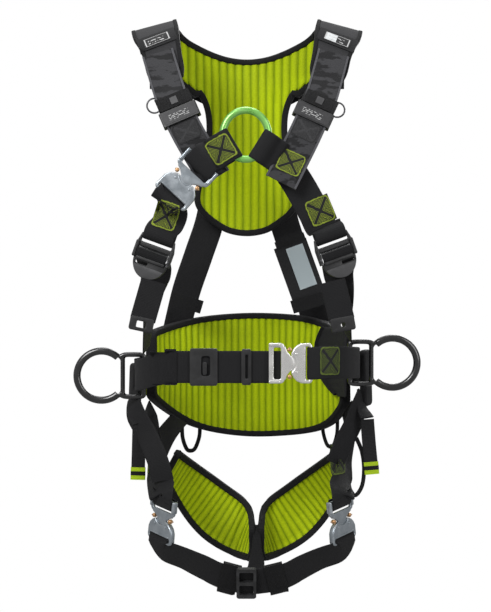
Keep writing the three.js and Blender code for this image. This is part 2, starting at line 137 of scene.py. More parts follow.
def finish(piece, material, body=ROOT, stands_for=()):
    piece.data.materials.clear()
    piece.data.materials.append(material)
    if body:
        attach(piece, body)
    if stands_for:
        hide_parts(*stands_for)
    return piece


def centre(node):
    low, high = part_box(node)
    return (low + high) / 2


def evaluated(obj, name):
    """The mesh of an object with its modifiers applied, as a new plain piece."""
    graph = bpy.context.evaluated_depsgraph_get()
    mesh = bpy.data.meshes.new_from_object(obj.evaluated_get(graph), depsgraph=graph)
    mesh.transform(obj.matrix_world)
    bpy.data.objects.remove(obj)
    mesh.polygons.foreach_set("use_smooth", [True] * len(mesh.polygons))
    mesh.name = name
    return link(bpy.data.objects.new(name, mesh))


def joined(name, pieces):
    """Several plain pieces as one; their meshes keep their places and UVs."""
    work = bmesh.new()
    for piece in pieces:
        piece.data.transform(piece.matrix_basis)
        work.from_mesh(piece.data)
        bpy.data.objects.remove(piece)
    mesh = bpy.data.meshes.new(name)
    work.to_mesh(mesh)
    work.free()
    return link(bpy.data.objects.new(name, mesh))


def axes(origin, along, up):
    """A placing matrix whose X looks along, and whose Y is as near to up as it can be."""
    x = Vector(along).normalized()
    z = x.cross(Vector(up)).normalized()
    y = z.cross(x)
    return Matrix.Translation(origin) @ Matrix((x, y, z)).transposed().to_4x4()


def pressed(name, outline, holes=(), thick=4, round_edge=0.8, place=Matrix(), steps=3):
    """A flat metal or plastic part cut to an outline, with rounded edges. Sizes in millimetres."""
    curve = bpy.data.curves.new(name, "CURVE")
    curve.dimensions = "2D"
    curve.fill_mode = "BOTH"
    curve.extrude = (thick / 2 - round_edge) * MM
    curve.bevel_depth = round_edge * MM
    curve.bevel_resolution = steps
    curve.offset = -round_edge * MM
    for loop in (outline, *holes):
        line = curve.splines.new("POLY")
        line.points.add(len(loop) - 1)
        for point, (x, y) in zip(line.points, loop):
            point.co = (x * MM, y * MM, 0, 1)
        line.use_cyclic_u = True
    plate = link(bpy.data.objects.new(name, curve))
    plate.matrix_world = place
    bpy.context.view_layer.update()
    piece = evaluated(plate, name)
    work = bmesh.new()
    work.from_mesh(piece.data)
    bmesh.ops.remove_doubles(work, verts=work.verts, dist=0.00002)
    bmesh.ops.recalc_face_normals(work, faces=work.faces)
    work.to_mesh(piece.data)
    work.free()
    piece.data.set_sharp_from_angle(angle=math.radians(40))
    return piece


def arc(cx, cy, radius, start, end, steps=10):
    """Points on an arc, in degrees."""
    turns = [math.radians(start + (end - start) * i / steps) for i in range(steps + 1)]
    return [(cx + radius * math.cos(t), cy + radius * math.sin(t)) for t in turns]


def rounded(x0, y0, x1, y1, r, steps=6):
    """A rectangle with round corners."""
    return (arc(x1 - r, y0 + r, r, -90, 0, steps) + arc(x1 - r, y1 - r, r, 0, 90, steps)
            + arc(x0 + r, y1 - r, r, 90, 180, steps) + arc(x0 + r, y0 + r, r, 180, 270, steps))


def smooth_path(points, step):
    """Evenly spaced points along a smooth curve through the given ones."""
    fine = []
    count = len(points)
    for i in range(count - 1):
        a = points[max(i - 1, 0)]
        b, c = points[i], points[i + 1]
        d = points[min(i + 2, count - 1)]
        for k in range(12):
            t = k / 12
            fine.append(0.5 * ((2 * b) + (c - a) * t + (2 * a - 5 * b + 4 * c - d) * t * t
                               + (3 * b - a - 3 * c + d) * t ** 3))
    fine.append(points[-1].copy())
    lengths = [0.0]
    for a, b in zip(fine, fine[1:]):
        lengths.append(lengths[-1] + (b - a).length)
    total = lengths[-1]
    spans = max(2, round(total / step))
    result, k = [], 0
    for i in range(spans + 1):
        goal = total * i / spans
        while k < len(fine) - 2 and lengths[k + 1] < goal:
            k += 1
        share = (goal - lengths[k]) / max(lengths[k + 1] - lengths[k], 1e-9)
        result.append(fine[k].lerp(fine[k + 1], min(max(share, 0), 1)))
    return result


# ---- Material effects ------------------------------------------------------------------------

class Graph:
    """A short way to place and wire nodes in one node tree."""

    def __init__(self, tree):
        self.tree = tree

    def node(self, kind, values=None, **settings):
        made = self.tree.nodes.new(kind)
        for key, value in settings.items():
            setattr(made, key, value)
        for key, value in (values or {}).items():
            self.put(made.inputs[key], value)
        return made

    def put(self, socket, value):
        if isinstance(value, bpy.types.NodeSocket):
            self.tree.links.new(value, socket)
        elif isinstance(value, tuple) and len(value) == 3 and socket.type == "RGBA":
            socket.default_value = (*value, 1)
        else:
            socket.default_value = value

    def math(self, operation, a, b=None, c=None, clamp=False):
        made = self.node("ShaderNodeMath", operation=operation, use_clamp=clamp)
        for slot_index, value in enumerate((a, b, c)):
            if value is not None:
                self.put(made.inputs[slot_index], value)
        return made.outputs[0]

    def mix(self, share, a, b, blend="MIX"):
        made = self.node("ShaderNodeMix", data_type="RGBA", blend_type=blend)
        self.put(made.inputs["Factor"], share)
        self.put(made.inputs["A"], a)
        self.put(made.inputs["B"], b)
        return made.outputs["Result"]

    def noise(self, vector, scale, detail=3.0, rough=0.55):
        made = self.node("ShaderNodeTexNoise", {"Vector": vector, "Scale": scale, "Detail": detail, "Roughness": rough})
        return made.outputs["Fac"]

    def ramp(self, value, low, high, out_low=0.0, out_high=1.0):
        made = self.node("ShaderNodeMapRange", {"Value": value, "From Min": low, "From Max": high,
                                                "To Min": out_low, "To Max": out_high})
        return made.outputs["Result"]


def effect(name, inputs, outputs, build):
    """A node group: inputs and outputs are {name: (socket kind, default)}."""
    tree = bpy.data.node_groups.new(name, "ShaderNodeTree")
    for label, (kind, default) in inputs.items():
        socket = tree.interface.new_socket(label, in_out="INPUT", socket_type="NodeSocket" + kind)
        if default is not None:
            socket.default_value = default
    for label, kind in outputs.items():
        tree.interface.new_socket(label, in_out="OUTPUT", socket_type="NodeSocket" + kind)
    graph = Graph(tree)
    given = graph.node("NodeGroupInput").outputs
    result = graph.node("NodeGroupOutput")
    for label, value in build(graph, given).items():
        graph.put(result.inputs[label], value)
    return tree


def build_weave(g, given):
    """Woven webbing: fine ribs along the strap crossed by rows of picks."""
    at = g.node("ShaderNodeSeparateXYZ", {"Vector": given["Place"]})
    across, along = at.outputs["X"], at.outputs["Y"]
    ends = g.math("SINE", g.math("MULTIPLY", across, given["Ribs"]))
    picks = g.math("SINE", g.math("MULTIPLY_ADD", along, given["Picks"], g.math("MULTIPLY", ends, 0.9)))
    cord = g.math("ABSOLUTE", ends)
    height = g.math("MULTIPLY_ADD", picks, 0.35, g.math("MULTIPLY", cord, 0.65))
    fuzz = g.noise(given["Place"], 900.0, 2.0)
    height = g.math("MULTIPLY_ADD", fuzz, 0.35, height)
    drift = g.noise(given["Object"], 22.0, 3.0)
    # Painted shade and highlight: the thread tone follows the weave height, darker in the pits between threads and
    # lighter on their tops; drift adds random tone.
    tone = g.math("ADD", g.ramp(height, -0.2, 1.1, 0.72, 1.22), g.ramp(drift, 0.3, 0.7, -0.12, 0.12))
    grey = g.node("ShaderNodeCombineColor", {"Red": tone, "Green": tone, "Blue": tone}).outputs["Color"]
    colour = g.mix(1.0, given["Colour"], grey, "MULTIPLY")
    return {"Colour": colour, "Height": height, "Roughness": g.ramp(drift, 0.3, 0.7, 0.62, 0.8)}


WEAVE = effect(
    "woven_thread",
    {"Place": ("Vector", None), "Object": ("Vector", None), "Colour": ("Color", (0.02, 0.02, 0.02, 1)),
     "Ribs": ("Float", 2600.0), "Picks": ("Float", 3000.0)},
    {"Colour": "Color", "Height": "Float", "Roughness": "Float"}, build_weave)


def build_mesh_cloth(g, given):
    """Knitted spacer cloth: a close grid of small round cells over a soft mottle."""
    cells = g.node("ShaderNodeTexVoronoi", {"Vector": given["Object"], "Scale": given["Cells"]}).outputs["Distance"]
    height = g.ramp(cells, 0.1, 0.6, 0.0, 1.0)
    drift = g.noise(given["Object"], 14.0, 4.0)
    fibre = g.noise(given["Object"], 420.0, 2.0)
    # Partly painted shade: the cell hollows are darker and the ridges lighter with the bump height; drift and fibre add
    # random tone.
    light = g.math("ADD", g.ramp(height, 0, 1, 0.9, 1.08), g.ramp(drift, 0.3, 0.7, -0.1, 0.1))
    light = g.math("ADD", light, g.ramp(fibre, 0.3, 0.7, -0.07, 0.07))
    grey = g.node("ShaderNodeCombineColor", {"Red": light, "Green": light, "Blue": light}).outputs["Color"]
    return {"Colour": g.mix(1.0, given["Colour"], grey, "MULTIPLY"), "Height": height,
            "Roughness": g.ramp(drift, 0.3, 0.7, 0.66, 0.84)}


MESH_CLOTH = effect(
    "knitted_cloth",
    {"Object": ("Vector", None), "Colour": ("Color", (0.4, 0.55, 0.01, 1)), "Cells": ("Float", 520.0)},
    {"Colour": "Color", "Height": "Float", "Roughness": "Float"}, build_mesh_cloth)


def build_wear(g, given):
    """Handling marks: edges rubbed brighter, patches duller, and fine scuffs all over."""
    bend = g.node("ShaderNodeNewGeometry").outputs["Pointiness"]
    edge = g.ramp(bend, 0.5, 0.57, 0.0, 1.0)
    patch = g.ramp(g.noise(given["Object"], 60.0, 5.0, 0.65), 0.42, 0.62, 0.0, 1.0)
    scuff = g.ramp(g.noise(given["Object"], 700.0, 2.0), 0.35, 0.7, 0.0, 1.0)
    rubbed = g.math("MULTIPLY", g.math("MULTIPLY", edge, patch), given["Amount"], clamp=True)
    colour = g.mix(rubbed, given["Colour"], given["Bare"])
    rough = g.math("MULTIPLY_ADD", patch, 0.09, given["Roughness"])
    rough = g.math("MULTIPLY_ADD", scuff, 0.06, rough)
    return {"Colour": colour, "Roughness": rough, "Height": scuff}


WEAR = effect(
    "handling_wear",
    {"Object": ("Vector", None), "Colour": ("Color", (0.5, 0.5, 0.5, 1)), "Bare": ("Color", (0.8, 0.8, 0.8, 1)),
     "Roughness": ("Float", 0.3), "Amount": ("Float", 0.5)},
    {"Colour": "Color", "Roughness": "Float", "Height": "Float"}, build_wear)


def new_material(name):
    material = bpy.data.materials.new(name)
    material.use_nodes = True
    g = Graph(material.node_tree)
    return material, g, material.node_tree.nodes["Principled BSDF"]


def object_place(g):
    return g.node("ShaderNodeTexCoord").outputs["Object"]


def bumped(g, shader, height, strength, depth):
    bump = g.node("ShaderNodeBump", {"Height": height, "Strength": strength, "Distance": depth})
    g.put(shader.inputs["Normal"], bump.outputs["Normal"])


def woven(name, colour, ribs=2600.0, picks=3000.0, sheen=0.018, depth=0.0006):
    material, g, shader = new_material(name)
    place = g.node("ShaderNodeUVMap", uv_map="UVMap").outputs["UV"]
    weave = g.node("ShaderNodeGroup", node_tree=WEAVE)
    for key, value in {"Place": place, "Object": object_place(g), "Colour": colour, "Ribs": ribs,
                       "Picks": picks}.items():
        g.put(weave.inputs[key], value)
    g.put(shader.inputs["Base Color"], weave.outputs["Colour"])
    g.put(shader.inputs["Roughness"], weave.outputs["Roughness"])
    shader.inputs["Sheen Weight"].default_value = sheen
    shader.inputs["Sheen Roughness"].default_value = 0.5
    shader.inputs["Specular IOR Level"].default_value = 0.22
    bumped(g, shader, weave.outputs["Height"], 0.55, depth)
    return material


def build_strokes(g, given):
    """Printed dark brush strokes, as a mask."""
    spot = g.node("ShaderNodeMapping", {"Vector": given["Object"], "Rotation": (0.3, 0.5, 0.4),
                                        "Scale": (24.0, 24.0, 66.0)}).outputs["Vector"]
    return {"Mask": g.ramp(g.noise(spot, 1.5, 3.0), 0.47, 0.53, 0.0, 1.0)}


STROKES = effect("printed_strokes", {"Object": ("Vector", None)}, {"Mask": "Float"}, build_strokes)


def knitted(name, colour, cells=520.0, sheen=0.03, printed=None):
    material, g, shader = new_material(name)
    cloth = g.node("ShaderNodeGroup", node_tree=MESH_CLOTH)
    for key, value in {"Object": object_place(g), "Colour": colour, "Cells": cells}.items():
        g.put(cloth.inputs[key], value)
    shade = cloth.outputs["Colour"]
    if printed:
        strokes = g.node("ShaderNodeGroup", node_tree=STROKES)
        g.put(strokes.inputs["Object"], object_place(g))
        shade = g.mix(strokes.outputs["Mask"], shade, printed)
    g.put(shader.inputs["Base Color"], shade)
    g.put(shader.inputs["Roughness"], cloth.outputs["Roughness"])
    shader.inputs["Sheen Weight"].default_value = sheen
    shader.inputs["Specular IOR Level"].default_value = 0.25
    bumped(g, shader, cloth.outputs["Height"], 0.4, 0.0005)
    return material


def build_ribs(g, given):
    """Knitted cloth quilted in ribs with stitched grooves: bright crests, and grooves darkened with painted shade.
    Place has the rib count in X.
    """
    count = g.node("ShaderNodeSeparateXYZ", {"Vector": given["Place"]}).outputs["X"]
    wobble = g.math("MULTIPLY_ADD", g.noise(given["Object"], 60.0, 2.0), 0.12, g.math("ADD", count, -0.06))
    crest = g.math("ABSOLUTE", g.math("SINE", g.math("MULTIPLY", wobble, math.pi)))
    full = g.math("POWER", crest, 0.55)
    cells = g.node("ShaderNodeTexVoronoi", {"Vector": given["Object"], "Scale": given["Cells"]}).outputs["Distance"]
    drift = g.noise(given["Object"], 12.0, 4.0)
    fibre = g.noise(given["Object"], 460.0, 2.0)
    # Partly painted shade: the cell hollows are a little darker than their rims; the mottle and fibre tone differ at
    # random.
    light = g.math("ADD", g.ramp(cells, 0.1, 0.6, 0.93, 1.05), g.ramp(drift, 0.3, 0.7, -0.1, 0.08))
    light = g.math("ADD", light, g.ramp(fibre, 0.3, 0.7, -0.06, 0.06))
    grey = g.node("ShaderNodeCombineColor", {"Red": light, "Green": light, "Blue": light}).outputs["Color"]
    # Painted shade: the rib grooves take the darker shade colour, mixed in towards their bottoms by the crest mask.
    tone = g.mix(full, given["Painted Groove Shade"], given["Colour"])
    height = g.math("ADD", full, g.math("MULTIPLY", cells, 0.08))
    return {"Colour": g.mix(1.0, tone, grey, "MULTIPLY"), "Height": height,
            "Roughness": g.ramp(drift, 0.3, 0.7, 0.7, 0.86)}


RIBS = effect(
    "ribbed_cloth",
    {"Place": ("Vector", None), "Object": ("Vector", None), "Colour": ("Color", (0.4, 0.55, 0.01, 1)),
     "Painted Groove Shade": ("Color", (0.15, 0.2, 0.01, 1)), "Cells": ("Float", 560.0)},
    {"Colour": "Color", "Height": "Float", "Roughness": "Float"}, build_ribs)


def ribbed(name, colour, groove_shade):
    material, g, shader = new_material(name)
    place = g.node("ShaderNodeUVMap", uv_map="UVMap").outputs["UV"]
    cloth = g.node("ShaderNodeGroup", node_tree=RIBS)
    for key, value in {"Place": place, "Object": object_place(g), "Colour": colour, "Painted Groove Shade": groove_shade}.items():
        g.put(cloth.inputs[key], value)
    g.put(shader.inputs["Base Color"], cloth.outputs["Colour"])
    g.put(shader.inputs["Roughness"], cloth.outputs["Roughness"])
    shader.inputs["Specular IOR Level"].default_value = 0.2
    bumped(g, shader, cloth.outputs["Height"], 0.7, 0.0014)
    return material


def hard(name, colour, bare, rough, metal, amount=0.5, coat=0.0, scuff=0.12):
    material, g, shader = new_material(name)
    wear = g.node("ShaderNodeGroup", node_tree=WEAR)
    for key, value in {"Object": object_place(g), "Colour": colour, "Bare": bare, "Roughness": rough,
                       "Amount": amount}.items():
        g.put(wear.inputs[key], value)
    g.put(shader.inputs["Base Color"], wear.outputs["Colour"])
    g.put(shader.inputs["Roughness"], wear.outputs["Roughness"])
    shader.inputs["Metallic"].default_value = metal
    shader.inputs["Coat Weight"].default_value = coat
    shader.inputs["Coat Roughness"].default_value = 0.15
    bumped(g, shader, wear.outputs["Height"], scuff, 0.0002)
    return material


BLACK_WEB = woven("black_webbing", (0.0092, 0.0092, 0.0102))
BINDING = woven("black_binding", (0.0075, 0.0075, 0.0082), ribs=3600.0, picks=2400.0)
ELASTIC = woven("black_elastic", (0.0062, 0.0062, 0.0068), ribs=5200.0, picks=1500.0)
TAB_WEB = woven("lime_tab", (0.36, 0.52, 0.012), ribs=3000.0, picks=2600.0)
# The second colour is painted shade for the rib grooves.
LIME = ribbed("lime_ribbed_knit", (0.46, 0.585, 0.002), (0.17, 0.27, 0.001))
PAD_BACKING = knitted("black_backing", (0.012, 0.012, 0.013), cells=380.0)
SHOULDER_CLOTH = knitted("shoulder_cloth", (0.027, 0.027, 0.029), cells=640.0)
STRAP_PRINT = knitted("printed_cloth", (0.034, 0.034, 0.037), cells=640.0, printed=(0.010, 0.010, 0.011))
PIPING = woven("edge_piping", (0.075, 0.075, 0.082), ribs=1800.0, picks=2600.0)
SILVER = hard("silver_satin", (0.80, 0.79, 0.77), (0.9, 0.9, 0.89), 0.24, 0.85, 0.3)
STEEL = hard("grey_blue_metal", (0.30, 0.335, 0.365), (0.72, 0.75, 0.78), 0.3, 0.8, 0.7)
COPPER = hard("copper_pawl", (0.62, 0.35, 0.17), (0.85, 0.6, 0.38), 0.24, 0.9, 0.5)
GLOSS_BLACK = hard("gloss_black_metal", (0.0075, 0.0075, 0.008), (0.07, 0.07, 0.075), 0.2, 0.1, 0.35, coat=0.7)
GREEN = hard("green_anodised", (0.21, 0.56, 0.10), (0.6, 0.85, 0.5), 0.24, 0.55, 0.6, coat=0.3)
PLASTIC = hard("black_plastic", (0.0085, 0.0085, 0.0092), (0.05, 0.05, 0.053), 0.42, 0.0, 0.5, scuff=0.3)
GREY_PLASTIC = hard("grey_plastic", (0.04, 0.04, 0.042), (0.1, 0.1, 0.105), 0.45, 0.0, 0.5, scuff=0.3)
WIRE = hard("dark_wire", (0.075, 0.075, 0.08), (0.4, 0.4, 0.42), 0.3, 0.8, 0.5)


# ---- Webbing ---------------------------------------------------------------------------------

def cad_stations(node):
    """Centre and direction across along a CAD strap, read from its four-cornered sections."""
    work = bmesh.new()
    work.from_mesh(NODES[node].data)
    bmesh.ops.remove_doubles(work, verts=work.verts, dist=0.00001)
    near = {v: {e.other_vert(v) for e in v.link_edges} for v in work.verts}

    def layers(first):
        found, seen = [first], set(first)
        while len(seen) < len(near):
            ahead = set().union(*(near[v] for v in found[-1])) - seen
            if len(ahead) != 4:
                return None
            found.append(ahead)
            seen |= ahead
        return found

    chain = None
    for edge in work.edges:
        if len(edge.link_faces) == 2:
            cap = {v for face in edge.link_faces for v in face.verts}
            if len(cap) == 4 and edge.link_faces[0].normal.dot(edge.link_faces[1].normal) > 0.999:
                chain = layers(cap)
                if chain:
                    break
    stations = []
    across = None
    for layer in chain:
        points = [v.co.copy() for v in layer]
        middle = sum(points, Vector()) / 4
        if across is None:
            a = points[0]
            far = sorted(points[1:], key=lambda p: (p - a).length)
            across = (a - far[1]).normalized()
        else:
            plus = [p for p in points if (p - middle).dot(across) > 0]
            minus = [p for p in points if (p - middle).dot(across) <= 0]
            across = (sum(plus, Vector()) / len(plus) - sum(minus, Vector()) / len(minus)).normalized()
        stations.append([middle, across.copy()])
    work.free()
    return stations


def ordered(stations, towards):
    """The same stations, starting from the end nearer to a point in millimetres."""
    goal = Vector(towards) * MM
    if (stations[0][0] - goal).length > (stations[-1][0] - goal).length:
        stations = stations[::-1]
    return stations


PROFILE = [-1, -0.985, -0.94, -0.8, -0.45, 0, 0.45, 0.8, 0.94, 0.985, 1]


def webbing(name, stations, width=WEB_WIDTH, thick=WEB_THICK, step=0.004, wave=0.0004, seed=0.0):
    """Woven strap through stations of (centre, direction across), with soft rounded edges."""
    centres = smooth_path([s[0] for s in stations], step)
    count = len(centres)
    marks = [0.0]
    for a, b in zip(stations, stations[1:]):
        marks.append(marks[-1] + (b[0] - a[0]).length)
    verts, uvs, faces = [], [], []
    along, k, held = 0.0, 0, None
    for i, middle in enumerate(centres):
        if i:
            along += (middle - centres[i - 1]).length
        goal = marks[-1] * i / (count - 1)
        while k < len(stations) - 2 and marks[k + 1] < goal:
            k += 1
        share = min(max((goal - marks[k]) / max(marks[k + 1] - marks[k], 1e-9), 0), 1)
        narrow = [station[2] if len(station) > 2 else 1.0 for station in stations[k:k + 2]]
        wide = width * (narrow[0] + (narrow[1] - narrow[0]) * share * share * (3 - 2 * share))
        first, second = stations[k][1], stations[k + 1][1]
        if first.dot(second) < 0:
            second = -second
        across = first.lerp(second, share)
        if held and across.dot(held) < 0:
            across = -across
        ahead = (centres[min(i + 1, count - 1)] - centres[max(i - 1, 0)]).normalized()
        across = (across - ahead * across.dot(ahead)).normalized()
        held = across
        out = ahead.cross(across)
        lift = wave * math.sin(along * 70 + seed) * min(1, along * 40)
        for side, row in ((1, PROFILE), (-1, PROFILE[-2:0:-1])):
            for x in row:
                edge = math.sqrt(max(0.0, 1 - abs(x) ** 14))
                roll = 1 + 0.22 * math.exp(-((abs(x) - 0.93) / 0.04) ** 2)
                at = middle + across * (x * wide / 2) + out * (side * thick / 2 * edge * roll + lift)
                verts.append(at)
                uvs.append((x * width / 2, along))
    ring = 2 * len(PROFILE) - 2
    for i in range(count - 1):
        for c in range(ring):
            n = (c + 1) % ring
            faces.append((i * ring + c, i * ring + n, (i + 1) * ring + n, (i + 1) * ring + c))
    faces.append(tuple(range(ring)))
    faces.append(tuple((count - 1) * ring + c for c in range(ring)))
    piece = mesh_piece(name, verts, faces, uvs=uvs)
    piece.data.set_sharp_from_angle(angle=math.radians(60))
    return piece


def at_mm(x, y, z):
    return Vector((x, y, z)) * MM


def wrap(middle, start_dir, normal, radius, across, turn=180, steps=6):
    """Stations round a bar: from start_dir over normal, through turn degrees."""
    u, n = Vector(start_dir).normalized(), Vector(normal).normalized()
    result = []
    for i in range(steps + 1):
        t = math.radians(turn * i / steps)
        result.append([middle + (n * math.cos(t) + u * math.sin(t)) * radius, Vector(across)])
    return result


def buckle_place(prefix, pawls):
    """The buckle's own axes: X towards the tongue, Y along the pawls' travel, Z out of its face."""
    first, second = (centre(f"{prefix}_pawl_{pawl}") for pawl in pawls)
    origin = (first + second) / 2
    reach = centre(f"{prefix}_tongue") - centre(f"{prefix}_body")
    y = (first - second).normalized()
    x = (reach - y * reach.dot(y)).normalized()
    z = x.cross(y)
    if z.dot(Vector((origin.x, -0.25, 0))) < 0:
        y, z = -y, -z
    return Matrix.Translation(origin) @ Matrix((x, y, z)).transposed().to_4x4()


BUCKLES = {
    "chest_buckle": buckle_place("chest_buckle", ("upper", "lower")),
    "waist_buckle": buckle_place("waist_buckle", ("upper", "lower")),
    "leg_buckle_right": buckle_place("leg_buckle_right", ("front", "rear")),
    "leg_buckle_left": buckle_place("leg_buckle_left", ("front", "rear")),
}
TONGUE_END = {"chest_buckle": 34, "waist_buckle": 29, "leg_buckle_right": 30, "leg_buckle_left": 30}
BODY_END = {"chest_buckle": 38, "waist_buckle": 32, "leg_buckle_right": 34, "leg_buckle_left": 34}


def adjuster_place(side):
    """A torso adjuster's own axes: Y up the frame, Z out of its face."""
    joint = JOINTS[f"adjuster_bar_{side}_release"]
    y = -Vector(joint["axis"])
    z = y.cross(Vector((0, 0, 1))).normalized()
    if z.y > 0:
        z = -z
    x = y.cross(z)
    low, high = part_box(f"torso_adjuster_{side}")
    origin = Vector((centre(f"adjuster_bar_{side}"))) - z * 2 * MM - y * 0.5 * MM
    return Matrix.Translation(origin) @ Matrix((x, y, z)).transposed().to_4x4()


ADJUSTERS = {side: adjuster_place(side) for side, _ in SIDES}


def on(place, x, y, z, across=(0, 1, 0)):
    """A station at a point in a part's own axes, in millimetres."""
    return [place @ at_mm(x, y, z), (place.to_3x3() @ Vector(across)).normalized()]


def strap_piece(name, stations, slot="black_webbing", material=None, body=ROOT, stands_for=None, **form):
    piece = webbing(name, stations, **form)
    return finish(piece, material or BLACK_WEB, body, stands_for or ())


def ring_loop(ring_point, away, across, depth, dip=0.0):
    """Stations of webbing that comes up behind the chest ring's bar, folds inside it and returns in front."""
    u = Vector(away).normalized()
    rows = [(58, depth + 11 + dip), (34, depth + 9 + dip / 2), (16, depth + 7.5)]
    rows += [(6 - 8 * math.sin(math.radians(t)), depth + 7.5 * math.cos(math.radians(t))) for t in (45, 90, 135)]
    rows += [(14, depth - 7.2 + dip * 0.2), (24, depth - 6 + dip * 0.8), (34, depth - 5 + dip)]
    result = []
    for reach, y in rows:
        spot = Vector(ring_point) * MM + u * reach * MM
        result.append([Vector((spot.x, y * MM, spot.z)), Vector(across)])
    return result


def chest_webbing():
    place = BUCKLES["chest_buckle"]
    end = TONGUE_END["chest_buckle"] - 3
    away = (-0.857, 0, -0.515)
    route = ring_loop((-20, 0, -190.5), away, (-0.515, 0, 0.857), -116)
    route += [on(place, end + 12, 0, 5.2), on(place, end + 1, 0, 4.8), on(place, end - 9, 0, 3.2)]
    route += [on(place, end - 13.5, 0, 0), on(place, end - 9, 0, -3.2), on(place, end + 1, 0, -4.8),
              on(place, end + 14, 0, -5)]
    piece = strap_piece("chest_strap_right_web", route, step=0.0025, stands_for=["chest_strap_right"])

    body = -BODY_END["chest_buckle"] + 2
    frame_at = ADJUSTERS["right"]
    cad = ordered(cad_stations("front_strap_right"), (-97, -112, -262))
    route = [on(place, body - 12, 0, -5), on(place, body - 2, 0, -4.6), on(place, body + 6.6, 0, 0),
             on(place, body - 1, 0, 4.4)]
    bend = on(place, body - 10, 4, 4)
    route += [bend + [0.84], cad[4], cad[6]]
    route += [on(frame_at, 0, 34, 4, (1, 0, 0)), on(frame_at, 0, 23, 5, (1, 0, 0)),
              on(frame_at, 0, 16.5, 0, (1, 0, 0)), on(frame_at, 0, 23, -5, (1, 0, 0)),
              on(frame_at, 0, 40, -5, (1, 0, 0))]
    strap_piece("front_strap_right_web", route, step=0.0025, stands_for=["front_strap_right"], seed=1.3)

    frame_at = ADJUSTERS["left"]
    cad = ordered(cad_stations("chest_strap_left"), (33, -103, -201))
    route = ring_loop((16, 0, -191.5), (0.85, 0, -0.53), (0.53, 0, 0.85), -116, dip=10)
    route += [[station[0], station[1]] for station in cad[2:-2]]
    route += [on(frame_at, 0, 34, 3, (1, 0, 0)), on(frame_at, 0, 23, 5, (1, 0, 0)),
              on(frame_at, 0, 16.5, 0, (1, 0, 0)), on(frame_at, 0, 23, -5, (1, 0, 0)),
              on(frame_at, 0, 42, -5, (1, 0, 0))]
    strap_piece("chest_strap_left_web", route, step=0.0025, stands_for=["chest_strap_left"], seed=2.1)
    return piece


def yoke_webbing():
    for side, sign in SIDES:
        cad = ordered(cad_stations(f"shoulder_strap_{side}"), (sign * 125, -47, -52))
        piece = webbing(f"shoulder_strap_{side}_web", cad, thick=3.0 * MM, wave=0.0003)
        finish(piece, STRAP_PRINT, ROOT, [f"shoulder_strap_{side}"])
        for edge in (-1, 1):
            line = [[s[0] + s[1] * edge * 21.6 * MM, s[1]] for s in cad]
            trim = webbing(f"shoulder_piping_{side}_{'inner' if edge * sign < 0 else 'outer'}", line,
                           width=3.2 * MM, thick=4.0 * MM, wave=0)
            finish(trim, PIPING)
        cad = ordered(cad_stations(f"back_strap_{side}"), (sign * 128, 79, -62))
        strap_piece(f"back_strap_{side}_web", cad, stands_for=[f"back_strap_{side}"], seed=sign)


def side_webbing():
    for side, sign in SIDES:
        frame_at = ADJUSTERS[side]
        cad = ordered(cad_stations(f"side_strap_{side}"), (sign * 126, -90, -350))
        route = [on(frame_at, 0, 2, 8.5, (1, 0, 0)), on(frame_at, 0, -8, 5.5, (1, 0, 0)),
                 on(frame_at, 0, -14, -5, (1, 0, 0))] + cad[1:]
        strap_piece(f"side_strap_{side}_web", route, step=0.003, stands_for=[f"side_strap_{side}"])
        cad = ordered(cad_stations(f"hip_strap_{side}"), (sign * 149, 22, -566))
        turned_out = Vector((0.5, 0.78 * sign, -0.37 * sign))
        for k, share in ((2, 0.4), (3, 0.8), (4, 1), (5, 1), (6, 1), (7, 1), (8, 0.8), (9, 0.4)):
            cad[k][1] = cad[k][1].lerp(turned_out, share).normalized()
        place = BUCKLES[f"leg_buckle_{side}"]
        end = TONGUE_END[f"leg_buckle_{side}"] - 3
        route = cad[:-4] + [on(place, end + 12, 0, 4.8), on(place, end + 1, 0, 4.8), on(place, end - 8, 0, 3.2),
                            on(place, end - 12, 0, 0), on(place, end - 8, 0, -3.2), on(place, end - 2, 0, -4.4),
                            on(place, end + 5, 0, -3.4)]
        strap_piece(f"hip_strap_{side}_web", route, step=0.003, stands_for=[f"hip_strap_{side}"], seed=sign)
        body = -BODY_END[f"leg_buckle_{side}"] + 2
        cad = ordered(cad_stations(f"leg_front_strap_{side}"), (sign * 105, -72, -754))
        end = cad[-1][0] + (cad[-1][0] - cad[-2][0]).normalized() * 13 * MM + Vector((0, 0.0015 * (1 + sign), 0))
        under = cad[0][0] + Vector((sign * 0.020, 0.009, -0.014))
        turned = cad[1][0] + Vector((0, 0.001, -0.014))
        route = [on(place, body - 10, 0, -4.6), on(place, body - 2, 0, -4.4), on(place, body + 6.6, 0, 0),
                 on(place, body - 2, 0, 4.4), [under, Vector((-0.55, -0.7 * sign, 0.45 * sign))],
                 [turned, Vector((-0.38, -0.66 * sign, 0.65 * sign))]] + cad[4:] + [[end, cad[-1][1]]]
        strap_piece(f"leg_front_strap_{side}_web", route, step=0.003,
                    stands_for=[f"leg_front_strap_{side}"], seed=sign * 2)


def belt_webbing():
    place = BUCKLES["waist_buckle"]
    cad = ordered(cad_stations("belt_right"), (47, -112, -502))
    last = cad[-1]
    route = cad + [[at_mm(-162.2, 1, -518), last[1]], [at_mm(-161.5, 14, -518), last[1]]]
    strap_piece("belt_right_web", route, stands_for=["belt_right"], wave=0)
    body = -BODY_END["waist_buckle"] + 2
    cad = ordered(cad_stations("belt_left"), (80, -123, -495))
    last = cad[-1]
    route = [on(place, body - 26, 0, -5.2), on(place, body - 2, 0, -5), on(place, body + 5, 0, 0),
             on(place, body - 2, 0, 5)] + cad[2:]
    route += [[at_mm(163.2, 1, -500), last[1]], [at_mm(162.5, 14, -501), last[1]]]
    strap_piece("belt_left_web", route, step=0.003, stands_for=["belt_left"], seed=0.4)
    strap_piece("belt_back_web", cad_stations("belt_back"), stands_for=["belt_back"], wave=0.0003)


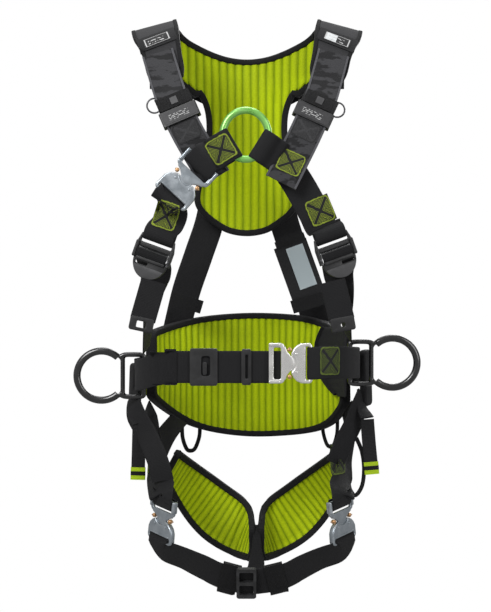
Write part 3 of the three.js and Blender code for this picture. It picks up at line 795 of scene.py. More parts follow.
chest_webbing()
yoke_webbing()
side_webbing()
belt_webbing()


# ---- Padding ---------------------------------------------------------------------------------

def smooth_loop(points, step):
    """Evenly spaced points round a smooth closed curve through the given ones."""
    wide = points[-3:] + points + points[:3]
    path = smooth_path(wide, step)
    start = min(range(len(path) // 3), key=lambda i: (path[i] - points[0]).length)
    stop = max(range(len(path) // 2, len(path)), key=lambda i: -(path[i] - points[0]).length)
    return path[start:stop]


def sweep(name, path, ups, section, closed=False):
    """A section of (sideways, up) points in metres, carried along a path with its up direction at each point."""
    count, ring = len(path), len(section)
    girth = [0.0]
    for a, b in zip(section, section[1:]):
        girth.append(girth[-1] + math.dist(a, b))
    verts, uvs, faces, along = [], [], [], 0.0
    for i in range(count):
        before = path[i - 1] if i or closed else path[0]
        after = path[(i + 1) % count] if i + 1 < count or closed else path[-1]
        ahead = (after - before).normalized()
        up = (ups[i] - ahead * ups[i].dot(ahead)).normalized()
        side = ahead.cross(up)
        along += (path[i] - path[i - 1]).length if i else 0
        for (s, u), g in zip(section, girth):
            verts.append(path[i] + side * s + up * u)
            uvs.append((g, along))
    for i in range(count if closed else count - 1):
        j = (i + 1) % count
        for c in range(ring):
            n = (c + 1) % ring
            faces.append((i * ring + c, i * ring + n, j * ring + n, j * ring + c))
    if not closed:
        faces.append(tuple(range(ring)))
        faces.append(tuple((count - 1) * ring + c for c in range(ring)))
    piece = mesh_piece(name, verts, faces, uvs=uvs)
    piece.data.set_sharp_from_angle(angle=math.radians(50))
    return piece


def pad_faces(node, outward, thick, reshape=None):
    """The broad faces of a CAD pad, the wearer's side first: each as (tree, loop of points round it)."""
    work = bmesh.new()
    work.from_mesh(NODES[node].data)
    bmesh.ops.remove_doubles(work, verts=work.verts, dist=0.00001)
    near = {v for v in work.verts
            if any((w.co - v.co - outward(v.co) * thick * MM).length < 0.0003 for w in work.verts)}
    result = []
    for side in (near, set(work.verts) - near):
        sheet = {face for face in work.faces if all(v in side for v in face.verts)}
        ahead = {}
        for face in sheet:
            for loop in face.loops:
                if sum(other in sheet for other in loop.edge.link_faces) == 1:
                    ahead[loop.vert] = loop.link_loop_next.vert
        vert = start = next(iter(ahead))
        rim = []
        while True:
            rim.append(vert.co.copy())
            vert = ahead[vert]
            if vert == start:
                break
        points = [v.co.copy() for face in sheet for v in face.verts]
        if reshape:
            rim = [reshape(p) for p in rim]
            points = [reshape(p) for p in points]
        tree = BVHTree.FromPolygons(points, [(i, i + 1, i + 2) for i in range(0, len(points), 3)])
        result.append((tree, rim))
    work.free()
    return result


def blown_up(piece, rim, limit):
    """Fills a skin like a stuffed cover, held still along its rim and moving at most limit anywhere."""
    home = [v.co.copy() for v in piece.data.vertices]
    held = piece.vertex_groups.new(name="held")
    edge = smooth_loop(rim, 0.004)
    grid = KDTree(len(edge))
    for i, p in enumerate(edge):
        grid.insert(p, i)
    grid.balance()
    for i, p in enumerate(home):
        gap = grid.find(p)[2]
        held.add([i], max(0.0, min(1.0, 1.6 - gap / 0.012)), "REPLACE")
    cloth = piece.modifiers.new("fill", "CLOTH")
    cloth.settings.quality = 4
    cloth.settings.use_pressure = True
    cloth.settings.uniform_pressure_force = 4
    cloth.settings.vertex_group_mass = "held"
    cloth.settings.effector_weights.gravity = 0
    cloth.collision_settings.use_collision = False
    cloth.point_cache.frame_start = 1
    cloth.point_cache.frame_end = 20
    scene = bpy.context.scene
    for number in range(1, 21):
        scene.frame_set(number)
    shape = [v.co.copy() for v in piece.evaluated_get(bpy.context.evaluated_depsgraph_get()).data.vertices]
    piece.modifiers.remove(cloth)
    scene.frame_set(1)
    for vertex, start, end in zip(piece.data.vertices, home, shape):
        move = end - start
        vertex.co = start + move * min(1.0, limit / max(move.length, 1e-9))


def edge_tape(name, rims, width=9.5, over=1.6, inset=3.4, material=None):
    """Binding tape folded over a pad's rim."""
    inner, outer = rims
    pairs = [(a, min(outer, key=lambda b: (a - b).length)) for a in inner]
    heart = sum((a for a, _ in pairs), Vector()) / len(pairs)
    middles = [(a + b) / 2 for a, b in pairs]
    path = smooth_loop(middles, 0.004)
    for _ in range(5):
        path = [(path[i - 1] + path[i] * 2 + path[(i + 1) % len(path)]) / 4 for i in range(len(path))]
    ups = []
    for p in path:
        near = sorted(range(len(middles)), key=lambda i: (middles[i] - p).length)[:2]
        gaps = [max((middles[i] - p).length, 1e-6) for i in near]
        ups.append(sum(((pairs[i][1] - pairs[i][0]).normalized() / g for i, g in zip(near, gaps)), Vector()))
    half = (pairs[0][0] - pairs[0][1]).length / 2
    a, b, n = width / 2 * MM, half + over * MM, 5
    section = []
    for k in range(24):
        t = math.tau * k / 24
        c, s = math.cos(t), math.sin(t)
        section.append((math.copysign(abs(c) ** (2 / n), c) * a, math.copysign(abs(s) ** (2 / n), s) * b))
    inward = []
    for i, p in enumerate(path):
        ahead = (path[(i + 1) % len(path)] - path[i - 1]).normalized()
        side = ahead.cross(ups[i]).normalized()
        inward.append(p + side * (inset * MM * (1 if (heart - p).dot(side) > 0 else -1)))
    tape = sweep(name, inward, ups, section, closed=True)
    return finish(tape, material or BINDING)


def split_off(piece, name, keep):
    """Moves the faces whose corners are not all kept into a new piece."""
    work = bmesh.new()
    work.from_mesh(piece.data)
    work.verts.ensure_lookup_table()
    gone = [face for face in work.faces if sum(keep[v.index] for v in face.verts) * 2 <= len(face.verts)]
    marked = {face.index for face in gone}
    other = work.copy()
    bmesh.ops.delete(work, geom=gone, context="FACES")
    other.faces.ensure_lookup_table()
    bmesh.ops.delete(other, geom=[face for face in other.faces if face.index not in marked], context="FACES")
    mesh = bpy.data.meshes.new(name)
    other.to_mesh(mesh)
    work.to_mesh(piece.data)
    other.free()
    work.free()
    return link(bpy.data.objects.new(name, mesh))


def padding(node, outward, thick, ribs, tape, puff=5.0, deep=2.6, cell=3.4, reshape=None):
    """A ribbed foam pad in place of a CAD pad. ribs(point) gives (rib count, distance along the rib)."""
    (near_tree, near_rim), (far_tree, far_rim) = pad_faces(node, outward, thick, reshape)
    piece = link(bpy.data.objects.new(node + "_cover", NODES[node].data.copy()))
    if reshape:
        for vertex in piece.data.vertices:
            vertex.co = reshape(vertex.co)
    skin = piece.modifiers.new("skin", "REMESH")
    skin.mode = "VOXEL"
    skin.voxel_size = cell * MM
    skin.use_smooth_shade = True
    piece = evaluated(piece, node + "_cover")
    rounder = piece.modifiers.new("round", "SMOOTH")
    rounder.factor = 0.5
    rounder.iterations = 7
    piece = evaluated(piece, node + "_cover")
    blown_up(piece, [(a + min(far_rim, key=lambda b: (a - b).length)) / 2 for a in near_rim], puff * MM)
    finer = piece.modifiers.new("finer", "SUBSURF")
    finer.levels = finer.render_levels = 1
    piece = evaluated(piece, node + "_cover")
    mesh = piece.data
    inside = []
    marks = []
    normals = [v.normal.copy() for v in mesh.vertices]
    for vertex, normal in zip(mesh.vertices, normals):
        hit_near, hit_far = near_tree.find_nearest(vertex.co), far_tree.find_nearest(vertex.co)
        inside.append(hit_near[3] <= hit_far[3])
        count, along = ribs(vertex.co)
        marks.append((count, along))
        if inside[-1]:
            crest = math.sqrt(abs(math.sin(math.pi * count)))
            vertex.co = vertex.co - normal * (deep * MM * (1 - crest))
    layer = mesh.uv_layers.new(name="UVMap")
    for loop in mesh.loops:
        layer.data[loop.index].uv = marks[loop.vertex_index]
    backing = split_off(piece, node + "_backing", inside)
    finish(piece, LIME, ROOT, [node])
    finish(backing, PAD_BACKING)
    edge_tape(tape, (near_rim, far_rim))
    return piece


def straight_back(point):
    return Vector((0, 1, 0))


def waist_turn(point):
    return math.atan2((point.x - 0.003) / 0.151, (point.y + 0.012) / 0.120)


def out_from_waist(point):
    turn = waist_turn(point)
    return Vector((math.sin(turn), math.cos(turn), 0))


def by_waist_angle(point):
    """Rib count and height for a point on the waist pad, whose ribs stand up all round the ellipse."""
    turn = waist_turn(point)
    steps = 24
    arc_length = sum(math.hypot(0.151 * math.cos(turn * (k + 0.5) / steps), 0.120 * math.sin(turn * (k + 0.5) / steps))
                     for k in range(steps)) * abs(turn) / steps
    return math.copysign(arc_length, turn) / 0.0107 + 0.5, point.z


def leg_ribs(node):
    """Ribs of a leg pad: lines from its lower edge to its upper edge, fanned where the edges bend."""
    rim = pad_faces(node, straight_back, 10, close_at_crotch)[0][1]
    count = len(rim)

    def bend(i):
        a, b, c = rim[i - 1], rim[i], rim[(i + 1) % count]
        return (b - a).normalized().dot((c - b).normalized())

    corners = sorted(sorted(range(count), key=bend)[:4])
    edges = []
    for a, b in zip(corners, corners[1:] + [corners[0] + count]):
        edges.append([rim[i % count] for i in range(a, b + 1)])
    longest = sorted(edges, key=lambda e: -len(e))[:2]
    middle = 0.0145
    sides = [e if abs(e[0].x - middle) > abs(e[-1].x - middle) else e[::-1] for e in longest]
    low, top = sorted(sides, key=lambda e: sum(p.z for p in e) / len(e))
    spans = min(len(low), len(top)) - 1

    def find(point):
        last = None
        for k in range(spans + 1):
            a, b = low[k], top[k]
            gap = (b.x - a.x) * (point.z - a.z) - (b.z - a.z) * (point.x - a.x)
            if last is not None and (gap <= 0) != (last <= 0):
                u = (k - 1 + last / (last - gap)) / spans
                return u * 25, (point - a).length
            last = gap
        u = 0 if abs(point.x - middle) > 0.06 else 1
        return u * 25, 0.0

    return find


def eased(value, start, end):
    t = min(1.0, max(0.0, (value - start) / (end - start)))
    return t * t * (3 - 2 * t)


def spread_wings(point):
    """The back pad's shoulder wings reach out under the shoulder pads."""
    more = eased(point.z, -0.105, -0.060) * eased(abs(point.x), 0.045, 0.095)
    return Vector((point.x + math.copysign(0.010 * more, point.x), point.y, point.z + 0.004 * more))


def close_at_crotch(point):
    """The leg pads' lower inner corners reach in until the two pads meet."""
    off = point.x - 0.0145
    more = eased(-point.z, 0.742, 0.795) * (1 - eased(abs(off), 0.02, 0.085))
    return Vector((point.x - math.copysign(0.019 * more, off), point.y, point.z))


padding("back_pad", straight_back, 12, lambda p: (p.x / 0.0119 + 0.5, p.z), "back_pad_binding", reshape=spread_wings)
padding("waist_pad", out_from_waist, 13, by_waist_angle, "waist_pad_binding")
for side, _ in SIDES:
    padding(f"leg_pad_{side}", straight_back, 10, leg_ribs(f"leg_pad_{side}"), f"leg_pad_{side}_binding", puff=4.0,
            deep=1.9, cell=3.0, reshape=close_at_crotch)



# ---- Metal and plastic parts -----------------------------------------------------------------

def fused(name, pieces, cell):
    """Several solid pieces melted into one skin, then smoothed where they meet."""
    whole = joined(name, pieces)
    skin = whole.modifiers.new("skin", "REMESH")
    skin.mode = "VOXEL"
    skin.voxel_size = cell * MM
    skin.use_smooth_shade = True
    whole = evaluated(whole, name)
    rounder = whole.modifiers.new("round", "SMOOTH")
    rounder.factor = 0.5
    rounder.iterations = 6
    return evaluated(whole, name)


def bar(name, points, radius, up, closed=False, step=2.0, flat=1.0, corners=20):
    """A round bar along a smooth path in millimetres; flat below 1 presses it thinner along up."""
    path = [Vector(p) * MM for p in points]
    path = smooth_loop(path, step * MM) if closed else smooth_path(path, step * MM)
    section = [(radius * MM * math.cos(math.tau * k / corners), radius * MM * flat * math.sin(math.tau * k / corners))
               for k in range(corners)]
    return sweep(name, path, [Vector(up)] * len(path), section, closed=closed)


def knob(name, place, x, y, z, radius, height, bevel=0.5, sides=28):
    """A short round pin or rivet standing along the part's own Z."""
    outline = [(x + radius * math.cos(math.tau * k / sides), y + radius * math.sin(math.tau * k / sides))
               for k in range(sides)]
    return pressed(name, outline, thick=height, round_edge=bevel, place=place @ Matrix.Translation((0, 0, z * MM)))


def moved(place, z):
    return place @ Matrix.Translation((0, 0, z * MM))


def buckle(prefix, pawls, material):
    place, end, long = BUCKLES[prefix], TONGUE_END[prefix], BODY_END[prefix]
    nose = arc(6, 0, 13, 122, 238, 14)
    plate = nose + [(3, -16), (5.5, -22.5)] + arc(13, -22, 6, 190, 270, 6) + arc(end - 5, -23, 5, -90, 0, 6) \
        + arc(end - 5, 23, 5, 0, 90, 6) + arc(13, 22, 6, 90, 170, 6) + [(5.5, 22.5), (3, 16)]
    window = rounded(12, -22, end - 7, 22, 2.6)
    face = pressed(f"{prefix}_plate", plate, [window], thick=4, round_edge=1.4, place=place)
    blade = pressed(f"{prefix}_blade", rounded(-16, -11, -2, 11, 2), thick=3.6, round_edge=0.8, place=place)
    arms = []
    for way in (-1, 1):
        y0, y1 = sorted((way * 28, way * 23.6))
        arm = rounded(13, y0, end, y1, 1.8)
        arms.append(pressed(f"{prefix}_arm", arm, thick=8.6, round_edge=1.6, place=place))
    tongue = joined(f"{prefix}_tongue_frame", [face, blade] + arms)
    finish(tongue, material, ROOT, [f"{prefix}_tongue"])

    hollow = arc(6, 0, 14.6, 236, 124, 14)
    upper = [(-2.6, 14.6), (-5, 19.6), (-9.5, 24.4), (-16, 27.6)] + arc(-long + 6, 22, 6, 84, 176, 8)
    lower = [(x, -y) for x, y in reversed(upper)]
    opening = rounded(-long + 4.6, -23.2, -long + 9.2, 23.2, 1.6)
    shell = pressed(f"{prefix}_shell", hollow + upper + lower, [opening], thick=8.4, round_edge=2.0, place=place)
    rivets = [knob(f"{prefix}_rivet", place, -9.5, way * 12.6, 4.2, 1.9, 1.4) for way in (-1, 1)]
    lip = pressed(f"{prefix}_lip", rounded(-long + 10.2, -22, -long + 12.4, 22, 1.0), thick=1.6, round_edge=0.6,
                  place=moved(place, 4.2))
    finish(joined(f"{prefix}_casing", [shell, lip] + rivets), material, ROOT, [f"{prefix}_body"])
    for pawl, way in zip(pawls, (1, -1)):
        node = f"{prefix}_pawl_{pawl}"
        local = place.inverted() @ centre(node)
        x, y = local.x / MM, local.y / MM
        out = math.copysign(1, y)
        shape = rounded(x - 3.1, y - 2.7, x + 3.1, y + 2.7, 2.4)
        cheek = pressed(f"{prefix}_cheek", shape, thick=7.0, round_edge=2.2, place=place, steps=5)
        grip = bar(f"{prefix}_grip", [(0, 0, -3.2), (0, 0, 0), (0, 0, 3.2)], 0.9, (0, 1, 0), corners=10)
        grip.data.transform(place @ Matrix.Translation(((x) * MM, (y + out * 2.8) * MM, 0)))
        finish(joined(f"{node}_knob", [cheek, grip]), COPPER, node, [node])


def adjuster(side, sign):
    place, node = ADJUSTERS[side], f"torso_adjuster_{side}"
    outline = [(-28, 9.5), (-24.5, 24), (24.5, 24), (28, 9.5), (28, -12)] + arc(0, -12, 25, 0, -180, 24) + [(-28, -12)]
    slit = rounded(-21, -19, -3, -15.4, 1.4) if sign < 0 else rounded(3, -19, 21, -15.4, 1.4)
    holes = [rounded(-22.5, 11.8, 22.5, 19, 1.6), rounded(-22.5, -10, 22.5, 4.8, 1.6), slit]
    body = pressed(f"{node}_frame", outline, holes, thick=6, round_edge=1.5, place=place)
    rail = pressed(f"{node}_rail", rounded(-21.5, -13.6, 21.5, -8.6, 2), thick=5, round_edge=1.4,
                   place=moved(place, 3.4))
    cheeks = [pressed(f"{node}_cheek", rounded(min(x, x + 5), -12, max(x, x + 5), 12, 2), thick=9, round_edge=1.6,
                      place=moved(place, 2.2)) for x in (-28, 23)]
    finish(joined(f"{node}_body", [body, rail] + cheeks), PLASTIC, ROOT, [node])
    tab = [(-23, -20.6), (23, -20.6)] + arc(0, -14, 23.6, -18, -162, 20)
    finish(pressed(f"{node}_tab", tab, thick=2.2, round_edge=0.8, place=moved(place, 3.0)), GREY_PLASTIC)
    spring = [knob(f"{node}_pin", place, -sign * 25.2, y, 7.0, 1.5, 1.8) for y in (-5.0, -10.5)]
    finish(joined(f"{node}_spring", spring), WIRE)
    moving = f"adjuster_bar_{side}"
    roller = bar(f"{moving}_roller", [(-21.3, 0.5, 2), (-7, 0.5, 2), (7, 0.5, 2), (21.3, 0.5, 2)], 4.6, (0, 1, 0),
                 corners=32)
    knurl = [bar(f"{moving}_end", [(x, 0.5, 2), (x + 0.8, 0.5, 2), (x + 1.6, 0.5, 2)], 4.9, (0, 1, 0), corners=32)
             for x in (-21.4, 19.8)]
    whole = joined(f"{moving}_bar", [roller] + knurl)
    whole.data.transform(place)
    finish(whole, GLOSS_BLACK, moving, [moving])


def side_ring(side, sign):
    node = f"side_ring_{side}"
    low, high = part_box(node)
    z, y = (low.z + high.z) / 2 / MM, (low.y + high.y) / 2 / MM
    x0 = (low.x if sign < 0 else high.x) / MM - sign * 41.5
    at = lambda x, h: (x0 - sign * x, y, z + h)
    bend = math.degrees(math.asin(27 / 36))
    turn = [math.radians(bend + (360 - 2 * bend) * k / 22) for k in range(23)]
    eye = bar(f"{node}_eye", [at(36 * math.cos(t), 36 * math.sin(t)) for t in turn], 5.5, (0, 1, 0), flat=0.76,
              corners=28)
    rail = [(25.5, 25.5), (33, 30.2), (48, 31), (58, 30.4), (61.6, 28.6), (62.2, 25), (62.2, 0), (62.2, -25), (61.6, -28.6),
            (58, -30.4), (48, -31), (33, -30.2), (25.5, -25.5)]
    legs = bar(f"{node}_legs", [at(*p) for p in rail], 3.8, (0, 1, 0), corners=24)
    cross = bar(f"{node}_cross", [at(31, -30), at(31, -10), at(31, 10), at(31, 30)], 3.5, (0, 1, 0), corners=24)
    finish(fused(f"{node}_bar", [eye, legs, cross], 1.0), GLOSS_BLACK, node, [node])


def ellipse_ring(node, radius, stretch, bar_radius):
    middle = centre(node) / MM
    points = [(middle.x + radius * math.cos(t), middle.y, middle.z + radius * stretch * math.sin(t))
              for t in [math.tau * k / 32 for k in range(32)]]
    ring = bar(f"{node}_bar", points, bar_radius, (0, 1, 0), closed=True, step=1.5, corners=32)
    plate = pressed(f"{node}_flat", rounded(-9, -2.6, 9, 2.6, 2), thick=1.0, round_edge=0.4, place=Matrix.Translation(
        Vector((middle.x, middle.y - bar_radius + 0.2, middle.z + radius * stretch)) * MM)
        @ Matrix.Rotation(math.pi / 2, 4, "X"))
    finish(joined(f"{node}_ring", [ring, plate]), GREEN, node, [node])


def dorsal_ring():
    low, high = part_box("dorsal_ring")
    x, y = 0, (low.y + high.y) / 2 / MM
    top, foot = high.z / MM - 4.5, low.z / MM + 4.5
    wide = high.x / MM - 4.5
    middle = top - wide
    points = [(wide * math.cos(math.radians(t)), y, middle + wide * math.sin(math.radians(t)))
              for t in range(0, 181, 12)]
    points += [(-wide, y, middle - 12), (-wide, y, foot + 5), (-wide + 2, y, foot + 1.4), (-wide + 6, y, foot),
               (-12, y, foot), (12, y, foot), (wide - 6, y, foot), (wide - 2, y, foot + 1.4), (wide, y, foot + 5),
               (wide, y, middle - 12)]
    ring = bar("dorsal_ring_bar", points, 4.5, (0, 1, 0), closed=True, step=1.6, corners=28)
    finish(ring, GREEN, "dorsal_ring", ["dorsal_ring"])


def keeper_ring(side):
    node = f"keeper_ring_{side}"
    middle = centre(node) / MM
    points = [(middle.x + 10.4 * math.cos(t), middle.y, middle.z + 10.4 * math.sin(t))
              for t in [math.tau * k / 20 for k in range(20)]]
    ring = bar(f"{node}_wire", points, 1.25, (0, 1, 0), closed=True, step=1.0, corners=14)
    finish(ring, WIRE, node, [node])


for prefix, pawls, metal, slot_name in (
        ("chest_buckle", ("upper", "lower"), STEEL, "steel"), ("waist_buckle", ("upper", "lower"), SILVER, "silver"),
        ("leg_buckle_right", ("front", "rear"), STEEL, "steel"), ("leg_buckle_left", ("front", "rear"), STEEL, "steel")):
    buckle(prefix, pawls, metal)
for side, sign in SIDES:
    adjuster(side, sign)
    side_ring(side, sign)
    keeper_ring(side)
ellipse_ring("chest_ring", 31.5, 1.08, 5)
dorsal_ring()



# ---- Sewn details ----------------------------------------------------------------------------

def build_stitch(g, given):
    """Bartack patch: thread rows parallel to a bare cross, inside a rounded outline. Place runs from -1 to 1."""
    at = g.node("ShaderNodeSeparateXYZ", {"Vector": given["Place"]})
    bend = g.math("MULTIPLY_ADD", g.noise(given["Place"], 3.0, 1.0), 0.16, -0.08)
    x = g.math("ABSOLUTE", g.math("ADD", at.outputs["X"], bend))
    y = g.math("ABSOLUTE", g.math("ADD", at.outputs["Y"], bend))
    off_cross = g.math("ABSOLUTE", g.math("SUBTRACT", x, y))
    far = g.math("POWER", g.math("ADD", g.math("POWER", x, 7.0), g.math("POWER", y, 7.0)), 1 / 7)
    rows = g.math("SINE", g.math("MULTIPLY", off_cross, 44.0))
    rows = g.ramp(rows, -0.1, 0.5, 0.0, 1.0)
    stitch = g.ramp(g.math("SINE", g.math("MULTIPLY", g.math("ADD", x, y), 60.0)), -0.9, -0.5, 0.35, 1.0)
    clear = g.ramp(off_cross, 0.12, 0.19, 0.0, 1.0)
    inside = g.ramp(far, 0.82, 0.86, 1.0, 0.0)
    line = g.math("MULTIPLY", g.ramp(far, 0.86, 0.89, 0.0, 1.0), g.ramp(far, 0.96, 0.99, 1.0, 0.0))
    thread = g.math("MAXIMUM", g.math("MULTIPLY", g.math("MULTIPLY", rows, inside), clear), line)
    thread = g.math("MULTIPLY", thread, stitch, clamp=True)
    fuzz = g.ramp(g.noise(given["Object"], 500.0, 3.0), 0.3, 0.7, 0.75, 1.2)
    grey = g.node("ShaderNodeCombineColor", {"Red": fuzz, "Green": fuzz, "Blue": fuzz}).outputs["Color"]
    tone = g.mix(thread, given["Colour"], given["Thread"])
    return {"Colour": g.mix(1.0, tone, grey, "MULTIPLY"), "Height": thread}


STITCH = effect("bartack_rows", {"Place": ("Vector", None), "Object": ("Vector", None),
                                 "Colour": ("Color", (0.012, 0.012, 0.013, 1)),
                                 "Thread": ("Color", (0.27, 0.34, 0.03, 1))},
                {"Colour": "Color", "Height": "Float"}, build_stitch)


def build_label(g, given):
    """A label with a thin outline and a few rows of plain dashes. Place runs from -1 to 1."""
    at = g.node("ShaderNodeSeparateXYZ", {"Vector": given["Place"]})
    x, y = at.outputs["X"], at.outputs["Y"]
    far = g.math("MAXIMUM", g.math("ABSOLUTE", x), g.math("ABSOLUTE", y))
    outline = g.math("MULTIPLY", g.ramp(far, 0.82, 0.84, 0.0, 1.0), g.ramp(far, 0.9, 0.92, 1.0, 0.0))
    outline = g.math("MULTIPLY", outline, given["Outline"])
    rows = g.ramp(g.math("SINE", g.math("MULTIPLY", y, given["Rows"])), 0.2, 0.5, 0.0, 1.0)
    dash = g.ramp(g.noise(g.node("ShaderNodeVectorMath", {0: given["Place"], 1: given["Dashes"]},
                                 operation="MULTIPLY").outputs[0], 1.0, 0.0), 0.46, 0.5, 0.0, 1.0)
    block = g.math("MULTIPLY", g.ramp(x, -0.68, -0.64, 0.0, 1.0), g.ramp(x, 0.5, 0.54, 1.0, 0.0))
    block = g.math("MULTIPLY", block, g.ramp(g.math("ABSOLUTE", y), 0.55, 0.6, 1.0, 0.0))
    ink = g.math("MAXIMUM", outline, g.math("MULTIPLY", g.math("MULTIPLY", rows, dash), block))
    half = g.math("MULTIPLY", g.ramp(x, given["Split"], g.math("ADD", given["Split"], 0.02), 1.0, 0.0),
                  g.ramp(far, 0.82, 0.84, 1.0, 0.0))
    base = g.mix(half, given["Colour"], (0.6, 0.62, 0.63))
    fuzz = g.ramp(g.noise(given["Object"], 240.0, 3.0), 0.3, 0.7, 0.85, 1.12)
    grey = g.node("ShaderNodeCombineColor", {"Red": fuzz, "Green": fuzz, "Blue": fuzz}).outputs["Color"]
    tone = g.mix(ink, base, (0.5, 0.5, 0.5))
    return {"Colour": g.mix(1.0, tone, grey, "MULTIPLY"), "Height": ink}


LABEL = effect("plain_label", {"Place": ("Vector", None), "Object": ("Vector", None),
                               "Colour": ("Color", (0.02, 0.02, 0.021, 1)), "Outline": ("Float", 1.0),
                               "Rows": ("Float", 16.0), "Dashes": ("Vector", (6.0, 3.0, 1.0)),
                               "Split": ("Float", -2.0)},
               {"Colour": "Color", "Height": "Float"}, build_label)


def marked(name, group, rough=0.75, depth=0.0005, **values):
    material, g, shader = new_material(name)
    place = g.node("ShaderNodeUVMap", uv_map="UVMap").outputs["UV"]
    marks = g.node("ShaderNodeGroup", node_tree=group)
    g.put(marks.inputs["Place"], place)
    g.put(marks.inputs["Object"], object_place(g))
    for key, value in values.items():
        g.put(marks.inputs[key], value)
    g.put(shader.inputs["Base Color"], marks.outputs["Colour"])
    shader.inputs["Roughness"].default_value = rough
    shader.inputs["Specular IOR Level"].default_value = 0.25
    bumped(g, shader, marks.outputs["Height"], 0.6, depth)
    return material


BARTACK = marked("lime_bartack", STITCH)
DIM_BARTACK = marked("olive_bartack", STITCH, Thread=(0.10, 0.14, 0.02, 1))
DARK_BARTACK = marked("black_bartack", STITCH, Colour=(0.034, 0.034, 0.036, 1), Thread=(0.016, 0.016, 0.017, 1))
OUTLINED = marked("outlined_label", LABEL, rough=0.5, Rows=11.0)
HALF_WHITE = marked("half_white_label", LABEL, rough=0.5, Rows=9.0, Split=-0.05)
PRINTED = marked("printed_label", LABEL, rough=0.45, Outline=0.0, Rows=22.0, Colour=(0.045, 0.045, 0.047, 1))
WINDOW = hard("label_window", (0.36, 0.42, 0.44), (0.6, 0.65, 0.66), 0.3, 0.0, 0.3, coat=0.3)


def patch_on(name, bases, middle, across, out, width, height, material, lift=0.7, thick=0.7,
             body=ROOT, tilt=0.0):
    """A thin sewn patch lying on other pieces, seen from out. Sizes in millimetres; UVs run from -1 to 1."""
    across, out = Vector(across).normalized(), Vector(out).normalized()
    along = out.cross(across).normalized()
    across = along.cross(out)
    turn = Matrix.Rotation(math.radians(tilt), 3, out)
    across, along = turn @ across, turn @ along
    trees = []
    for base in bases:
        mesh = bpy.data.objects[base].data
        trees.append(BVHTree.FromPolygons([v.co for v in mesh.vertices], [p.vertices[:] for p in mesh.polygons]))
    cols, rows = 12, max(4, round(12 * height / width))
    verts, uvs, faces = [], [], []
    last = None
    for j in range(rows + 1):
        for i in range(cols + 1):
            u, v = 2 * i / cols - 1, 2 * j / rows - 1
            spot = Vector(middle) * MM + across * (u * width / 2 * MM) + along * (v * height / 2 * MM)
            start = spot + out * 0.03
            hits = [tree.ray_cast(start, -out, 0.06) for tree in trees]
            near = [hit[3] for hit in hits if hit[0] is not None]
            reach = min(near) if near else last or 0.03
            last = reach
            verts.append(start - out * (reach - lift * MM))
            uvs.append((u, v))
    top = len(verts)
    verts += [p - out * thick * MM for p in verts]
    uvs += uvs
    wide = cols + 1
    for j in range(rows):
        for i in range(cols):
            a = j * wide + i
            faces.append((a, a + 1, a + wide + 1, a + wide))
            faces.append((top + a, top + a + wide, top + a + wide + 1, top + a + 1))
    rim = [i for i in range(cols)] + [cols + wide * j for j in range(rows)] \
        + [rows * wide + i for i in range(cols, 0, -1)] + [j * wide for j in range(rows, 0, -1)]
    for a, b in zip(rim, rim[1:] + rim[:1]):
        faces.append((a, top + a, top + b, b))
    piece = mesh_piece(name, verts, faces, uvs=uvs)
    piece.data.set_sharp_from_angle(angle=math.radians(50))
    return finish(piece, material, body)


def shoulder_pads():
    for side, sign in SIDES:
        node = f"shoulder_pad_{side}"
        cad = []
        for spot, across in cad_stations(node):
            rear = eased(spot.y, 0.0, 0.05)
            front = eased(-spot.y, 0.02, 0.045)
            inward = Vector((-sign * (12 * rear + 3 * front) * MM, 0, 0))
            cad.append([spot + inward, across, 1 - 0.34 * rear - 0.22 * front])
        tip, lean = cad[0], cad[-1]
        if lean[0].y < tip[0].y:
            tip, lean = lean, tip
        run = [s for s in cad if (s[0] - tip[0]).length < 0.03 and s is not tip]
        down = (tip[0] - run[0][0]).normalized() if run else Vector((0, -0.5, -0.85))
        longer = [tip[0] + down * 0.014, tip[1], 0.66]
        cad = [longer] + cad if cad[0] is tip else cad + [longer]
        pad = webbing(f"{node}_foam", cad, width=66 * MM, thick=9 * MM, wave=0, step=0.004)
        finish(pad, SHOULDER_CLOTH, ROOT, [node])
        for edge in (-1, 1):
            line = [[s[0] + s[1] * edge * 31.4 * s[2] * MM, s[1]] for s in cad]
            tape = webbing(f"{node}_tape_{'a' if edge < 0 else 'b'}", line, width=6 * MM, thick=10.6 * MM, wave=0)
            finish(tape, BINDING)
        across = (1, 0, -sign * 0.4)
        patch_on(f"{node}_band", [f"{node}_foam"], (sign * 131, -30, -33), across, (0, -1, 0.4), 58, 23, PAD_BACKING,
                 lift=2.0, thick=2.4)
        patch_on(f"{node}_label", [f"{node}_band"], (sign * 131, -31, -33), across, (0, -1, 0.4), 40, 14.5,
                 OUTLINED if sign < 0 else HALF_WHITE, lift=0.5, thick=0.5)


def keepers():
    for side, sign in SIDES:
        node = f"lanyard_keeper_{side}"
        place = centre(node) / MM
        lean = 23 if sign < 0 else -24.5
        across = Vector((math.cos(math.radians(lean)), 0, math.sin(math.radians(lean))))
        out = Vector((0, -1, 0.3))
        patch_on(f"{node}_print", [node_copy(node)], place, across, out, 50, 17.5, PRINTED,
                 lift=0.35, thick=0.4)
        up = across.cross(out).normalized()
        if up.z < 0:
            up = -up
        top = place + up * 24
        patch_on(f"elastic_sleeve_{side}", [f"shoulder_strap_{side}_web"], top, across, out, 51, 21, ELASTIC,
                 lift=2.4, thick=4.6)
        patch_on(f"sleeve_tab_{side}", [f"elastic_sleeve_{side}"], top, across, out, 10, 11, GREY_PLASTIC,
                 lift=0.4, thick=0.4)
        patch_on(f"yoke_bartack_{side}", [f"shoulder_strap_{side}_web"], place - up * 27, across, out, 38, 30,
                 DARK_BARTACK, lift=0.5, thick=0.5)


def node_copy(node):
    """A shown CAD part under its own name, for pieces that lie on it."""
    return NODES[node].name


